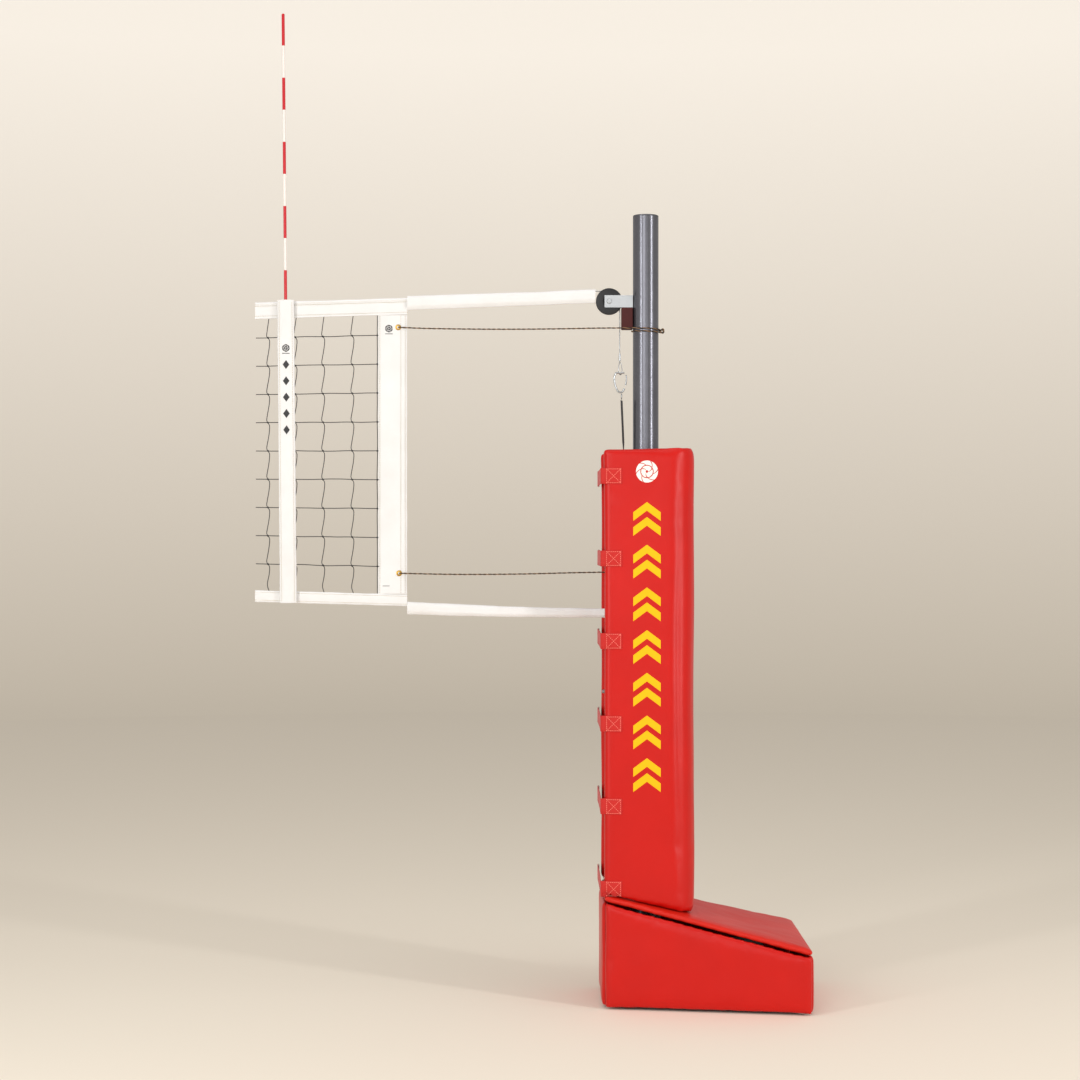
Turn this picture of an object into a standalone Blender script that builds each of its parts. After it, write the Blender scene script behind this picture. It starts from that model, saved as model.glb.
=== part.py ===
"""Portable volleyball standard with the first half metre of its net.

One freestanding standard: a ballasted base under a wedge of padding, a telescopic post inside a tall
column pad, a worm winch, a pulley and a snap hook that tension the net's head cable, the net's end with
its tapes and antenna, and the ropes that tie the net to the post.

Frame: metres, +Z up. The origin is the post's axis at the floor, +X points away from the net, and the
net hangs in the plane y = 0. A moving piece has its origin on its joint's axis.
"""
import math

import bmesh
import bpy
from mathutils import Matrix, Vector

# --- driving dimensions -------------------------------------------------------------------------
GAP = 0.0003              # left between faces that meet
SIDES = 28                # facets round a turned piece

MAST_R = 0.04125          # inner mast, 82.5 mm tube
MAST_WALL = 0.003
MAST_BOTTOM = 0.60
MAST_TOP = 2.516
SLEEVE_TUBE_R = 0.0508    # fixed lower tube, 101.6 mm
SLEEVE_TUBE_TOP = 1.690

BASE_NET_X = -0.146       # base pad, net end
BASE_OUT_X = 0.511        # base pad, outer end
BASE_NET_HALF = 0.188
BASE_OUT_HALF = 0.293
SEAM_NET_Z = 0.342        # height of the lid's seam at each end
SEAM_OUT_Z = 0.180
PANEL = 0.022             # foam panel under vinyl
LID = 0.018

COLUMN_HALF = 0.190       # column pad, a U open towards the net
COLUMN_NET_X = -0.146
COLUMN_OUT_X = 0.147
COLUMN_FOAM = 0.045
COLUMN_TOP = 1.768
COLUMN_CORNER = 0.068

TAB_Z = [1.673 - 0.259 * k for k in range(6)]
TAB_HIGH = 0.050
TAB_THICK = 0.002
TAB_X = COLUMN_NET_X - 0.0025

PLATE_Z = 0.012           # underside of the steel base plate
PLATE = 0.010

NET_CUT_X = -1.256        # where the modelled length of net ends
NET_END_X = -0.7675       # outer edge of the side tape
NET_TOP = 2.251           # at the side tape
NET_BOTTOM = 1.259
NET_RISE_TOP = 0.0307     # slope of the net's top edge towards the post
NET_RISE_BOTTOM = -0.0287
TAPE = 0.054              # head tape's width
FOOT_TAPE = 0.038
SIDE_TAPE = 0.0935
CORD = 0.0026
NET_CORD_Z = [1.385 + 0.0935 * k for k in range(9)]
NET_CORD_X = [-1.215, -1.127, -1.038, -0.944]

PULLEY = Vector((-0.1177, 0.0, 2.239))
PULLEY_R = 0.0425
CABLE_R = 0.0018
CABLE_RUN_R = 0.0342      # radius of the cable's centre line round the pulley
DROP_X = PULLEY.x + CABLE_RUN_R
DROP_END_Z = 2.070

STRAP_X = -0.0714         # strap's centre line beside the post
STRAP_WIDE = 0.025
STRAP_THICK = 0.0016
STRAP_SPLIT_Z = 1.748
HOOK_X = -0.0815
HOOK_TOP_Z = 2.016
LINK_BOTTOM_Z = 1.922

DRUM_R = 0.0172           # drum with its wound strap
DRUM = Vector((STRAP_X - DRUM_R - 0.0018, 0.0, 1.020))
WHEEL_R = 0.030           # worm wheel
WORM_R = 0.0075
WORM_Y = 0.050
WORM_Z = DRUM.z - WHEEL_R - WORM_R - 0.0012

ROPE_R = 0.0024
UPPER_ROPE_Z = 2.152
LOWER_ROPE_Z = 1.371

ANTENNA_FOOT = Vector((-1.1482, -0.0135, 1.285))
ANTENNA_TIP = Vector((-1.1650, -0.0135, 3.162))
ANTENNA_R = 0.005

WHEEL = Vector((0.437, 0.0, 0.053))
TRANSPORT_R = 0.048

for old in list(bpy.data.objects):
    bpy.data.objects.remove(old, do_unlink=True)


# --- materials ----------------------------------------------------------------------------------
def make_material(name, colour, roughness, metallic=0.0):
    material = bpy.data.materials.new(name)
    material.use_nodes = True
    shader = material.node_tree.nodes["Principled BSDF"]
    shader.inputs["Base Color"].default_value = (*colour, 1.0)
    shader.inputs["Roughness"].default_value = roughness
    shader.inputs["Metallic"].default_value = metallic
    return material


VINYL = make_material("red_vinyl", (0.72, 0.022, 0.024), 0.45)
WEBBING = make_material("red_webbing", (0.62, 0.02, 0.022), 0.8)
TAPE_CLOTH = make_material("white_tape", (0.93, 0.92, 0.86), 0.6)
NET_CORD = make_material("dark_net_cord", (0.03, 0.03, 0.025), 0.8)
ROPE = make_material("twisted_rope", (0.09, 0.07, 0.05), 0.8)
BLACK_WEB = make_material("black_webbing", (0.02, 0.02, 0.02), 0.75)
POST_COAT = make_material("grey_powder_coat", (0.14, 0.14, 0.145), 0.45, 0.5)
STEEL = make_material("zinc_plated_steel", (0.62, 0.63, 0.64), 0.3, 1.0)
FRAME_STEEL = make_material("black_steel", (0.05, 0.05, 0.052), 0.5, 0.3)
PULLEY_BLACK = make_material("black_nylon", (0.035, 0.032, 0.04), 0.4)
MAROON = make_material("maroon_plastic", (0.075, 0.007, 0.009), 0.5)
RUBBER = make_material("black_rubber", (0.02, 0.02, 0.02), 0.85)
ANTENNA_FINISH = make_material("antenna_glass_fibre", (0.45, 0.03, 0.025), 0.3)


# --- building tools -----------------------------------------------------------------------------
def add_mesh(name, verts, faces, material, pivot=(0, 0, 0), smooth=40):
    """Make a named object from world-space points, with its origin at pivot."""
    pivot = Vector(pivot)
    mesh = bpy.data.meshes.new(name)
    mesh.from_pydata([Vector(v) - pivot for v in verts], [], faces)
    mesh.update()
    work = bmesh.new()
    work.from_mesh(mesh)
    bmesh.ops.recalc_face_normals(work, faces=work.faces)
    work.to_mesh(mesh)
    work.free()
    mesh.shade_smooth()
    mesh.set_sharp_from_angle(angle=math.radians(smooth))
    mesh.materials.append(material)
    part = bpy.data.objects.new(name, mesh)
    part.location = pivot
    bpy.context.scene.collection.objects.link(part)
    return part


def bevel(part, width, segments=2, angle=40):
    step = part.modifiers.new("soft_edges", "BEVEL")
    step.width = width
    step.segments = segments
    step.limit_method = "ANGLE"
    step.angle_limit = math.radians(angle)


def cut(part, cutter):
    """Take a hidden cutter out of a part."""
    cutter.hide_render = True
    cutter.display_type = "WIRE"
    step = part.modifiers.new("cut", "BOOLEAN")
    step.operation = "DIFFERENCE"
    step.object = cutter


def join_shape(part, other):
    """Weld a hidden second shape onto a part."""
    other.hide_render = True
    other.display_type = "WIRE"
    step = part.modifiers.new("weld", "BOOLEAN")
    step.operation = "UNION"
    step.object = other


def prism(name, outline, low, high, material, axis="Z", pivot=(0, 0, 0), edge=0.0):
    """Extrude a flat outline. low and high may be numbers or functions of an outline point."""
    def height(level, point):
        return level(point) if callable(level) else level

    def place(point, level):
        u, v = point
        h = height(level, point)
        return {"Z": (u, v, h), "Y": (u, h, v), "X": (h, u, v)}[axis]

    count = len(outline)
    verts = [place(p, low) for p in outline] + [place(p, high) for p in outline]
    faces = [tuple(range(count)), tuple(range(count, 2 * count))]
    faces += [(k, (k + 1) % count, count + (k + 1) % count, count + k) for k in range(count)]
    part = add_mesh(name, verts, faces, material, pivot)
    if edge:
        bevel(part, edge)
    return part


def block(name, low, high, material, pivot=(0, 0, 0), edge=0.0):
    outline = [(low[0], low[1]), (high[0], low[1]), (high[0], high[1]), (low[0], high[1])]
    return prism(name, outline, low[2], high[2], material, pivot=pivot, edge=edge)


def hex_factor(angle):
    """Radius of a unit hexagon at an angle, so that a turned profile can carry a bolt head."""
    slice_angle = math.radians(60)
    return math.cos(slice_angle / 2) / math.cos((angle % slice_angle) - slice_angle / 2)


def turned(name, profile, centre, axis, material, pivot=None, sides=SIDES, closed=False):
    """Turn a profile of (radius, height) or (radius, height, "hex") points about an axis."""
    centre = Vector(centre)
    turn = Vector((0, 0, 1)).rotation_difference(Vector(axis)).to_matrix()
    verts, rings = [], []
    for point in profile:
        radius, height = point[0], point[1]
        if radius == 0:
            rings.append([len(verts)] * sides)
            verts.append(centre + turn @ Vector((0, 0, height)))
            continue
        ring = []
        for k in range(sides):
            angle = math.tau * k / sides
            r = radius * (hex_factor(angle) if len(point) > 2 else 1.0)
            ring.append(len(verts))
            verts.append(centre + turn @ Vector((r * math.cos(angle), r * math.sin(angle), height)))
        rings.append(ring)
    faces = []
    pairs = list(zip(rings, rings[1:]))
    if closed:
        pairs.append((rings[-1], rings[0]))
    for ring, following in pairs:
        for k in range(sides):
            n = (k + 1) % sides
            corners = [ring[k], ring[n], following[n], following[k]]
            face = tuple(dict.fromkeys(corners))
            if len(face) > 2:
                faces.append(face)
    return add_mesh(name, verts, faces, material, pivot if pivot is not None else centre)


def ring_tube(name, outer_r, inner_r, low, high, material, centre=(0, 0), edge=0.0):
    """Upright tube: a closed rectangular profile turned about a vertical axis."""
    profile = [(outer_r, high), (outer_r, low), (inner_r, low), (inner_r, high)]
    part = turned(name, profile, (centre[0], centre[1], 0), (0, 0, 1), material, closed=True)
    if edge:
        bevel(part, edge)
    return part


def swept(name, frames, outer, inner=None, material=None, pivot=(0, 0, 0), loop=False):
    """Sweep an outline, or an outline with a channel in it, along frames of (centre, u, v)."""
    verts, count = [], len(outer)
    for centre, u, v in frames:
        verts += [centre + u * a + v * b for a, b in outer]
        if inner:
            verts += [centre + u * a + v * b for a, b in inner]
    stride = count * (2 if inner else 1)
    faces = []
    steps = len(frames) if loop else len(frames) - 1
    for f in range(steps):
        here, there = f * stride, ((f + 1) % len(frames)) * stride
        for k in range(count):
            n = (k + 1) % count
            faces.append((here + k, here + n, there + n, there + k))
            if inner:
                faces.append((here + count + n, here + count + k, there + count + k, there + count + n))
    if not loop:
        for base in (0, (len(frames) - 1) * stride):
            if inner:
                faces += [(base + k, base + (k + 1) % count, base + count + (k + 1) % count, base + count + k)
                          for k in range(count)]
            else:
                faces.append(tuple(range(base, base + count)))
    return add_mesh(name, verts, faces, material, pivot)


def oval(half_u, half_v, sides=20, power=1.0):
    """Outline of an ellipse; a power under 1 squares it up."""
    points = []
    for k in range(sides):
        c, s = math.cos(math.tau * k / sides), math.sin(math.tau * k / sides)
        points.append((half_u * math.copysign(abs(c) ** power, c), half_v * math.copysign(abs(s) ** power, s)))
    return points


def cord(name, route, radius, material, points=40, resolution=2, pivot=(0, 0, 0)):
    """Round cord: a poly curve read from a smooth curve through the route's own points.

    A taut cable passes points=0, because its route already has every point it needs.
    """
    pivot = Vector(pivot)
    route = [Vector(p) for p in route]
    smooth = smooth_route(route, points) if points else route
    curve = bpy.data.curves.new(name, "CURVE")
    curve.dimensions = "3D"
    curve.bevel_depth = radius
    curve.bevel_resolution = resolution
    curve.use_fill_caps = True
    curve.render_resolution_u = 0
    spline = curve.splines.new("POLY")
    spline.points.add(len(smooth) - 1)
    for slot, point in zip(spline.points, smooth):
        slot.co = (*(point - pivot), 1.0)
    curve.materials.append(material)
    part = bpy.data.objects.new(name, curve)
    part.location = pivot
    bpy.context.scene.collection.objects.link(part)
    return part


def smooth_route(route, count):
    """Catmull-Rom curve through a route, resampled to even steps."""
    fine = []
    for k in range(len(route) - 1):
        before = route[max(k - 1, 0)]
        start, end = route[k], route[k + 1]
        after = route[min(k + 2, len(route) - 1)]
        for step in range(24):
            t = step / 24
            fine.append(0.5 * ((2 * start) + (end - before) * t
                               + (2 * before - 5 * start + 4 * end - after) * t * t
                               + (3 * start - before - 3 * end + after) * t ** 3))
    fine.append(route[-1])
    lengths = [0.0]
    for a, b in zip(fine, fine[1:]):
        lengths.append(lengths[-1] + (b - a).length)
    result, k = [], 0
    for step in range(count):
        target = lengths[-1] * step / (count - 1)
        while k < len(fine) - 2 and lengths[k + 1] < target:
            k += 1
        span = max(lengths[k + 1] - lengths[k], 1e-9)
        result.append(fine[k].lerp(fine[k + 1], min(max((target - lengths[k]) / span, 0), 1)))
    return result


X_AXIS, Y_AXIS, Z_AXIS = Vector((1, 0, 0)), Vector((0, 1, 0)), Vector((0, 0, 1))


# --- base: plate, feet, ballast, wheels ---------------------------------------------------------
def base_half(x):
    """Half width of the base pad, which widens away from the net."""
    return BASE_NET_HALF + (BASE_OUT_HALF - BASE_NET_HALF) * (x - BASE_NET_X) / (BASE_OUT_X - BASE_NET_X)


def seam_z(x):
    """Height of the lid's seam, which slopes down away from the net."""
    return SEAM_NET_Z + (SEAM_OUT_Z - SEAM_NET_Z) * (x - BASE_NET_X) / (BASE_OUT_X - BASE_NET_X)


def base_outline(x_low, x_high, inset):
    return [(x_low, inset - base_half(x_low)), (x_high, inset - base_half(x_high)),
            (x_high, base_half(x_high) - inset), (x_low, base_half(x_low) - inset)]


def make_base():
    plate_top = PLATE_Z + PLATE
    prism("base_plate", base_outline(-0.120, 0.395, 0.030), PLATE_Z, plate_top, FRAME_STEEL, edge=0.003)
    turned("foot_centre", [(0, 0), (0.045, 0), (0.048, 0.004), (0.048, PLATE_Z - GAP), (0, PLATE_Z - GAP)],
           (0, 0, 0), (0, 0, 1), RUBBER)
    block("foot_net", (-0.112, -0.145, 0), (-0.082, 0.145, PLATE_Z - GAP), RUBBER, edge=0.003)
    block("foot_outer", (0.350, -0.225, 0), (0.385, 0.225, PLATE_Z - GAP), RUBBER, edge=0.003)
    block("ballast", (0.145, -0.190, plate_top + GAP), (0.385, 0.190, 0.165), FRAME_STEEL, edge=0.004)
    ring_tube("post_socket", 0.066, SLEEVE_TUBE_R + 0.0005, plate_top + GAP, 0.180, FRAME_STEEL, edge=0.002)
    for name, side in (("gusset_front", -1), ("gusset_back", 1)):
        outline = [(side * 0.0668, plate_top + GAP), (side * 0.140, plate_top + GAP), (side * 0.140, 0.035),
                   (side * 0.075, 0.150), (side * 0.0668, 0.150)]
        prism(name, outline, -0.004, 0.004, FRAME_STEEL, axis="X", edge=0.001)


def make_wheels():
    """Transport wheels inside the outer end: the standard rolls once it is tipped onto them."""
    half_axle = 0.205
    turned("wheel_axle", [(0, -half_axle), (0.006, -half_axle), (0.006, half_axle), (0, half_axle)],
           WHEEL, (0, 1, 0), STEEL)
    for name, side in (("axle_bracket_front", -1), ("axle_bracket_back", 1)):
        outline = [(0.3955, PLATE_Z), (0.475, PLATE_Z + 0.020), (0.475, 0.075), (0.3955, 0.075)]
        low, high = sorted((side * 0.115, side * 0.121))
        bracket = prism(name, outline, low, high, FRAME_STEEL, axis="Y", edge=0.001)
        hole = turned(name + "_hole", [(0, -0.02), (0.0064, -0.02), (0.0064, 0.02), (0, 0.02)],
                      (WHEEL.x, side * 0.118, WHEEL.z), (0, 1, 0), FRAME_STEEL)
        cut(bracket, hole)
    tyre = 0.0160
    rim = [(TRANSPORT_R, -tyre + 0.005), (TRANSPORT_R, tyre - 0.005), (TRANSPORT_R - 0.005, tyre),
           (0.030, tyre), (0.027, tyre - 0.006), (0.014, tyre - 0.006), (0.012, tyre + 0.002),
           (0.0064, tyre + 0.002), (0.0064, -tyre - 0.002), (0.012, -tyre - 0.002), (0.014, 0.006 - tyre),
           (0.027, 0.006 - tyre), (0.030, -tyre), (TRANSPORT_R - 0.005, -tyre)]
    for name, side in (("wheel_front", -1), ("wheel_back", 1)):
        turned(name, rim, (WHEEL.x, side * 0.160, WHEEL.z), (0, 1, 0), RUBBER, closed=True)


# --- base padding -------------------------------------------------------------------------------
def make_base_pads():
    floor_gap = 0.001
    lid_gap = 0.0005

    def under_lid(point):
        return seam_z(point[0]) - lid_gap

    for name, side in (("base_pad_front", -1), ("base_pad_back", 1)):
        outline = [(BASE_NET_X, side * base_half(BASE_NET_X)), (BASE_OUT_X, side * base_half(BASE_OUT_X)),
                   (BASE_OUT_X, side * (base_half(BASE_OUT_X) - PANEL)),
                   (BASE_NET_X, side * (base_half(BASE_NET_X) - PANEL))]
        prism(name, outline, floor_gap, under_lid, VINYL, edge=0.004)
    for name, x_low, x_high in (("base_pad_net_end", BASE_NET_X, BASE_NET_X + PANEL),
                                ("base_pad_outer_end", BASE_OUT_X - PANEL, BASE_OUT_X)):
        prism(name, base_outline(x_low, x_high, PANEL + 0.0008), floor_gap, under_lid, VINYL, edge=0.004)
    lid = prism("base_lid", base_outline(BASE_NET_X, BASE_OUT_X, 0), lambda p: seam_z(p[0]),
                lambda p: seam_z(p[0]) + LID, VINYL, edge=0.006)
    post_hole = turned("lid_hole", [(0, 0), (0.056, 0), (0.056, 0.6), (0, 0.6)], (0, 0, 0), (0, 0, 1), VINYL)
    cut(lid, post_hole)


def column_outline():
    """U-shaped section of the column pad: outer line with round outer corners, then the inner line."""
    def corner(centre_x, centre_y, radius, start):
        return [(centre_x + radius * math.cos(math.radians(start + 90 * k / 6)),
                 centre_y + radius * math.sin(math.radians(start + 90 * k / 6))) for k in range(7)]

    outer_r, inner_r = COLUMN_CORNER, COLUMN_CORNER - COLUMN_FOAM
    far_x, far_y = COLUMN_OUT_X - outer_r, COLUMN_HALF - outer_r
    nose = 0.014
    outline = [(COLUMN_NET_X + nose, -COLUMN_HALF)]
    outline += corner(far_x, -far_y, outer_r, 270) + corner(far_x, far_y, outer_r, 0)
    outline += [(COLUMN_NET_X + nose, COLUMN_HALF), (COLUMN_NET_X, COLUMN_HALF - nose),
                (COLUMN_NET_X, COLUMN_HALF - COLUMN_FOAM)]
    outline += list(reversed(corner(far_x, far_y, inner_r, 0)))
    outline += list(reversed(corner(far_x, -far_y, inner_r, 270)))
    outline += [(COLUMN_NET_X, COLUMN_FOAM - COLUMN_HALF), (COLUMN_NET_X, nose - COLUMN_HALF)]
    return outline


def make_column_pad():
    prism("column_pad", column_outline(), lambda p: seam_z(p[0]) + LID + 0.0006, COLUMN_TOP, VINYL, edge=0.006)
    for number, z in enumerate(TAB_Z, start=1):
        block("tab_strap_%d" % number, (TAB_X - TAB_THICK, -COLUMN_HALF, z - TAB_HIGH / 2),
              (TAB_X, COLUMN_HALF - 0.004, z + TAB_HIGH / 2), WEBBING,
              pivot=(TAB_X - TAB_THICK / 2, -COLUMN_HALF, z), edge=0.0006)


# --- post ---------------------------------------------------------------------------------------
def make_post():
    ring_tube("outer_post", SLEEVE_TUBE_R, MAST_R + 0.0008, PLATE_Z + PLATE + GAP, SLEEVE_TUBE_TOP,
              POST_COAT, edge=0.001)
    ring_tube("clamp_collar", 0.0575, MAST_R + 0.0008, SLEEVE_TUBE_TOP + GAP, 1.738, FRAME_STEEL, edge=0.003)
    ring_tube("mast_tube", MAST_R, MAST_R - MAST_WALL, MAST_BOTTOM, MAST_TOP - 0.006, POST_COAT)
    plug_r = MAST_R - MAST_WALL - GAP
    under = MAST_TOP - 0.006 + GAP
    turned("mast_cap", [(0, under - 0.030), (plug_r, under - 0.030), (plug_r, under), (MAST_R, under),
                        (MAST_R, MAST_TOP - 0.003), (MAST_R - 0.003, MAST_TOP), (0, MAST_TOP)],
           (0, 0, 0), (0, 0, 1), POST_COAT)
    knob_z = 1.714
    profile = [(0, 0), (0.008, 0), (0.008, 0.020), (0.012, 0.022), (0.024, 0.026), (0.026, 0.032),
               (0.026, 0.046), (0.023, 0.050), (0, 0.050)]
    turned("lock_knob", profile, (0, -0.0582, knob_z), (0, -1, 0), RUBBER)
    for name, z in (("tie_ring_upper", LOWER_ROPE_Z), ("tie_ring_lower", 1.235)):
        ring = ring_tube(name, 0.0565, SLEEVE_TUBE_R + 0.0005, z - 0.012, z + 0.012, STEEL)
        lug = Vector((-0.62, -0.785, 0)).normalized()
        side = Vector((-lug.y, lug.x, 0))
        corners = [lug * a + side * b for a, b in ((0.054, -0.004), (0.074, -0.004), (0.074, 0.004), (0.054, 0.004))]
        ear = prism(name + "_lug", [(c.x, c.y) for c in corners], z - 0.009, z + 0.009, STEEL)
        join_shape(ring, ear)


# --- winch --------------------------------------------------------------------------------------
def make_winch():
    cheek, thick = 0.0322, 0.004
    near, far = -SLEEVE_TUBE_R - 0.0006, -0.126
    low, high = 0.955, 1.075
    outline = [(near, -cheek - thick), (near, cheek + thick), (far, cheek + thick), (far, cheek),
               (near - thick, cheek), (near - thick, -cheek), (far, -cheek), (far, -cheek - thick)]
    frame = prism("winch_frame", outline, low, high, FRAME_STEEL)
    for tag, x in (("inner", -0.062), ("outer", -0.120)):
        ear = block("worm_ear_" + tag, (x - 0.002, cheek + 0.002, low), (x + 0.002, WORM_Y + 0.010, WORM_Z + 0.010),
                    FRAME_STEEL)
        join_shape(frame, ear)
    shaft_hole = turned("winch_shaft_hole", [(0, -0.07), (0.0084, -0.07), (0.0084, 0.0405), (0, 0.0405)],
                        DRUM, (0, 1, 0), FRAME_STEEL)
    cut(frame, shaft_hole)
    worm_hole = turned("winch_worm_hole", [(0, -0.14), (0.0054, -0.14), (0.0054, -0.055), (0, -0.055)],
                       (0, WORM_Y, WORM_Z), (1, 0, 0), FRAME_STEEL)
    cut(frame, worm_hole)
    turned("winch_drum", [(0, -0.042), (0.008, -0.042), (0.008, -0.0300), (0.028, -0.0300), (0.028, -0.0270),
                          (DRUM_R, -0.0270), (DRUM_R, 0.0270), (0.028, 0.0270), (0.028, 0.0300),
                          (0.008, 0.0300), (0.008, 0.060), (0, 0.060)], DRUM, (0, 1, 0), STEEL)
    teeth, verts, faces = 30, [], []
    steps = teeth * 4
    for y in (0.0450, 0.0550):
        for radius_of in (lambda k: WHEEL_R if k % 4 < 2 else WHEEL_R - 0.0025, lambda k: 0.0084):
            for k in range(steps):
                angle = math.tau * (k + 0.5) / steps
                verts.append((DRUM.x + radius_of(k) * math.cos(angle), y, DRUM.z + radius_of(k) * math.sin(angle)))
    for k in range(steps):
        n = (k + 1) % steps
        rim_a, bore_a, rim_b, bore_b = 0, steps, 2 * steps, 3 * steps
        faces += [(rim_a + k, rim_a + n, rim_b + n, rim_b + k), (bore_a + n, bore_a + k, bore_b + k, bore_b + n),
                  (rim_a + n, rim_a + k, bore_a + k, bore_a + n), (rim_b + k, rim_b + n, bore_b + n, bore_b + k)]
    add_mesh("worm_wheel", verts, faces, STEEL, DRUM, smooth=20)
    thread = []
    start, turns = -0.108, 6
    for k in range(turns):
        x = start + 0.0055 * k
        thread += [(0.0055, x), (WORM_R, x + 0.0015), (WORM_R, x + 0.0030), (0.0055, x + 0.0045)]
    turned("worm_shaft", [(0, -0.139), (0.0060, -0.139, "hex"), (0.0060, -0.1225, "hex"), (0.0050, -0.1222),
                          (0.0050, start - 0.003)] + thread + [(0.0050, -0.072), (0.0050, -0.058), (0, -0.058)],
           (0, WORM_Y, WORM_Z), (1, 0, 0), STEEL, pivot=(-0.09, WORM_Y, WORM_Z))


# --- net ----------------------------------------------------------------------------------------
def net_lean(x, z):
    """The net's edges aren't level: its head rises and its foot falls towards the post."""
    share = (z - NET_BOTTOM) / (NET_TOP - NET_BOTTOM)
    rise = NET_RISE_BOTTOM + (NET_RISE_TOP - NET_RISE_BOTTOM) * share
    return z + rise * (x - NET_END_X)


def lean_mesh(part):
    for vert in part.data.vertices:
        vert.co.z = net_lean(vert.co.x, vert.co.z)


def along_x(x_low, x_high, z, steps=1):
    return [(Vector((x_low + (x_high - x_low) * k / steps, 0, z)), Y_AXIS, Z_AXIS) for k in range(steps + 1)]


def make_tapes():
    """Head tape folded over the cable, foot tape and side tape."""
    cable_z = NET_TOP - 0.0046
    fold, hem = 0.0046, 0.0030
    arc = [math.radians(a) for a in range(-50, 231, 20)]
    outer = [(fold * math.cos(a), fold * math.sin(a)) for a in arc]
    outer += [(-0.0022, -0.010), (-0.0022, 0.014 - TAPE), (-hem, 0.011 - TAPE), (-hem, 0.0052 - TAPE),
              (hem, 0.0052 - TAPE), (hem, 0.011 - TAPE), (0.0022, 0.014 - TAPE), (0.0022, -0.010)]
    low = [math.radians(a) for a in (242, 250, 256, 262, 278, 284, 290, 298)]
    inner = [(0.0025 * math.cos(a), 0.0025 * math.sin(a)) for a in arc + low]
    part = swept("top_tape", along_x(NET_CUT_X, NET_END_X, cable_z), outer, inner, TAPE_CLOTH)
    lean_mesh(part)
    hem_line = oval(0.0040, FOOT_TAPE / 2, 20, 0.6)
    part = swept("bottom_tape", along_x(NET_CUT_X, NET_END_X, NET_BOTTOM + FOOT_TAPE / 2), hem_line,
                 None, TAPE_CLOTH)
    lean_mesh(part)
    side_low, side_high = NET_BOTTOM + FOOT_TAPE + 0.0015, NET_TOP - TAPE - 0.0015
    part = block("side_tape", (NET_END_X - SIDE_TAPE, -0.0022, side_low), (NET_END_X, 0.0022, side_high), TAPE_CLOTH)
    lean_mesh(part)
    bevel(part, 0.0008)


def make_net_mesh():
    """Knotted mesh as one flat lattice of square cord."""
    low, high = NET_BOTTOM + FOOT_TAPE + 0.0015, NET_TOP - TAPE - 0.0015
    right = NET_END_X - SIDE_TAPE - 0.0006
    edge_x = right - 0.006
    half = CORD / 2
    x_lines = sorted({NET_CUT_X, right} | {x + s for x in NET_CORD_X + [edge_x] for s in (-half, half)})
    z_lines = sorted({low, high} | {z + s for z in NET_CORD_Z for s in (-half, half)})

    def near(value, centres):
        return any(abs(value - centre) < half for centre in centres)

    verts, index, faces = [], {}, []

    def corner(i, j, y):
        key = (i, j, y)
        if key not in index:
            index[key] = len(verts)
            verts.append((x_lines[i], y, net_lean(x_lines[i], z_lines[j])))
        return index[key]

    cells = {(i, j) for i in range(len(x_lines) - 1) for j in range(len(z_lines) - 1)
             if near((x_lines[i] + x_lines[i + 1]) / 2, NET_CORD_X + [edge_x])
             or near((z_lines[j] + z_lines[j + 1]) / 2, NET_CORD_Z)}
    for i, j in cells:
        ring = [(i, j), (i + 1, j), (i + 1, j + 1), (i, j + 1)]
        for y in (-half, half):
            faces.append(tuple(corner(a, b, y) for a, b in ring))
        for side, other in enumerate([(i, j - 1), (i + 1, j), (i, j + 1), (i - 1, j)]):
            if other not in cells:
                a, b = ring[side], ring[(side + 1) % 4]
                faces.append((corner(*a, -half), corner(*b, -half), corner(*b, half), corner(*a, half)))
    add_mesh("net_mesh", verts, faces, NET_CORD, smooth=20)


def make_antenna():
    lean = (ANTENNA_TIP - ANTENNA_FOOT).normalized()
    across = Y_AXIS.cross(lean)
    low, high = 1.270, 2.243
    frames = []
    for z in (low, high):
        centre = ANTENNA_FOOT + lean * ((z - ANTENNA_FOOT.z) / lean.z)
        frames.append((centre, across, Y_AXIS))
    swept("antenna_sleeve", frames, oval(0.0275, 0.0074, 24, 0.8), oval(0.0058, 0.0058, 24), TAPE_CLOTH)
    length = (ANTENNA_TIP - ANTENNA_FOOT).length
    turned("antenna_rod", [(0, 0), (ANTENNA_R, 0), (ANTENNA_R, length - 0.003), (ANTENNA_R - 0.002, length),
                           (0, length)], ANTENNA_FOOT, lean, ANTENNA_FINISH, sides=16)


# --- cables, ropes and straps -------------------------------------------------------------------
def cable_line():
    """Head cable: out of the tape, along the sleeve and a quarter turn over the pulley."""
    head = NET_TOP - 0.0046
    route = [Vector((x, 0, net_lean(x, head))) for x in (NET_CUT_X + 0.006, -1.10, -0.95, NET_END_X)]
    route += [Vector((-0.700, 0, 2.2515)), Vector((-0.440, 0, 2.2622)), Vector((-0.200, 0, 2.2710))]
    for k in range(13):
        a = math.radians(91.5 - 7.4 * k)
        route.append(PULLEY + Vector((CABLE_RUN_R * math.cos(a), 0, CABLE_RUN_R * math.sin(a))))
    return route


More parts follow.
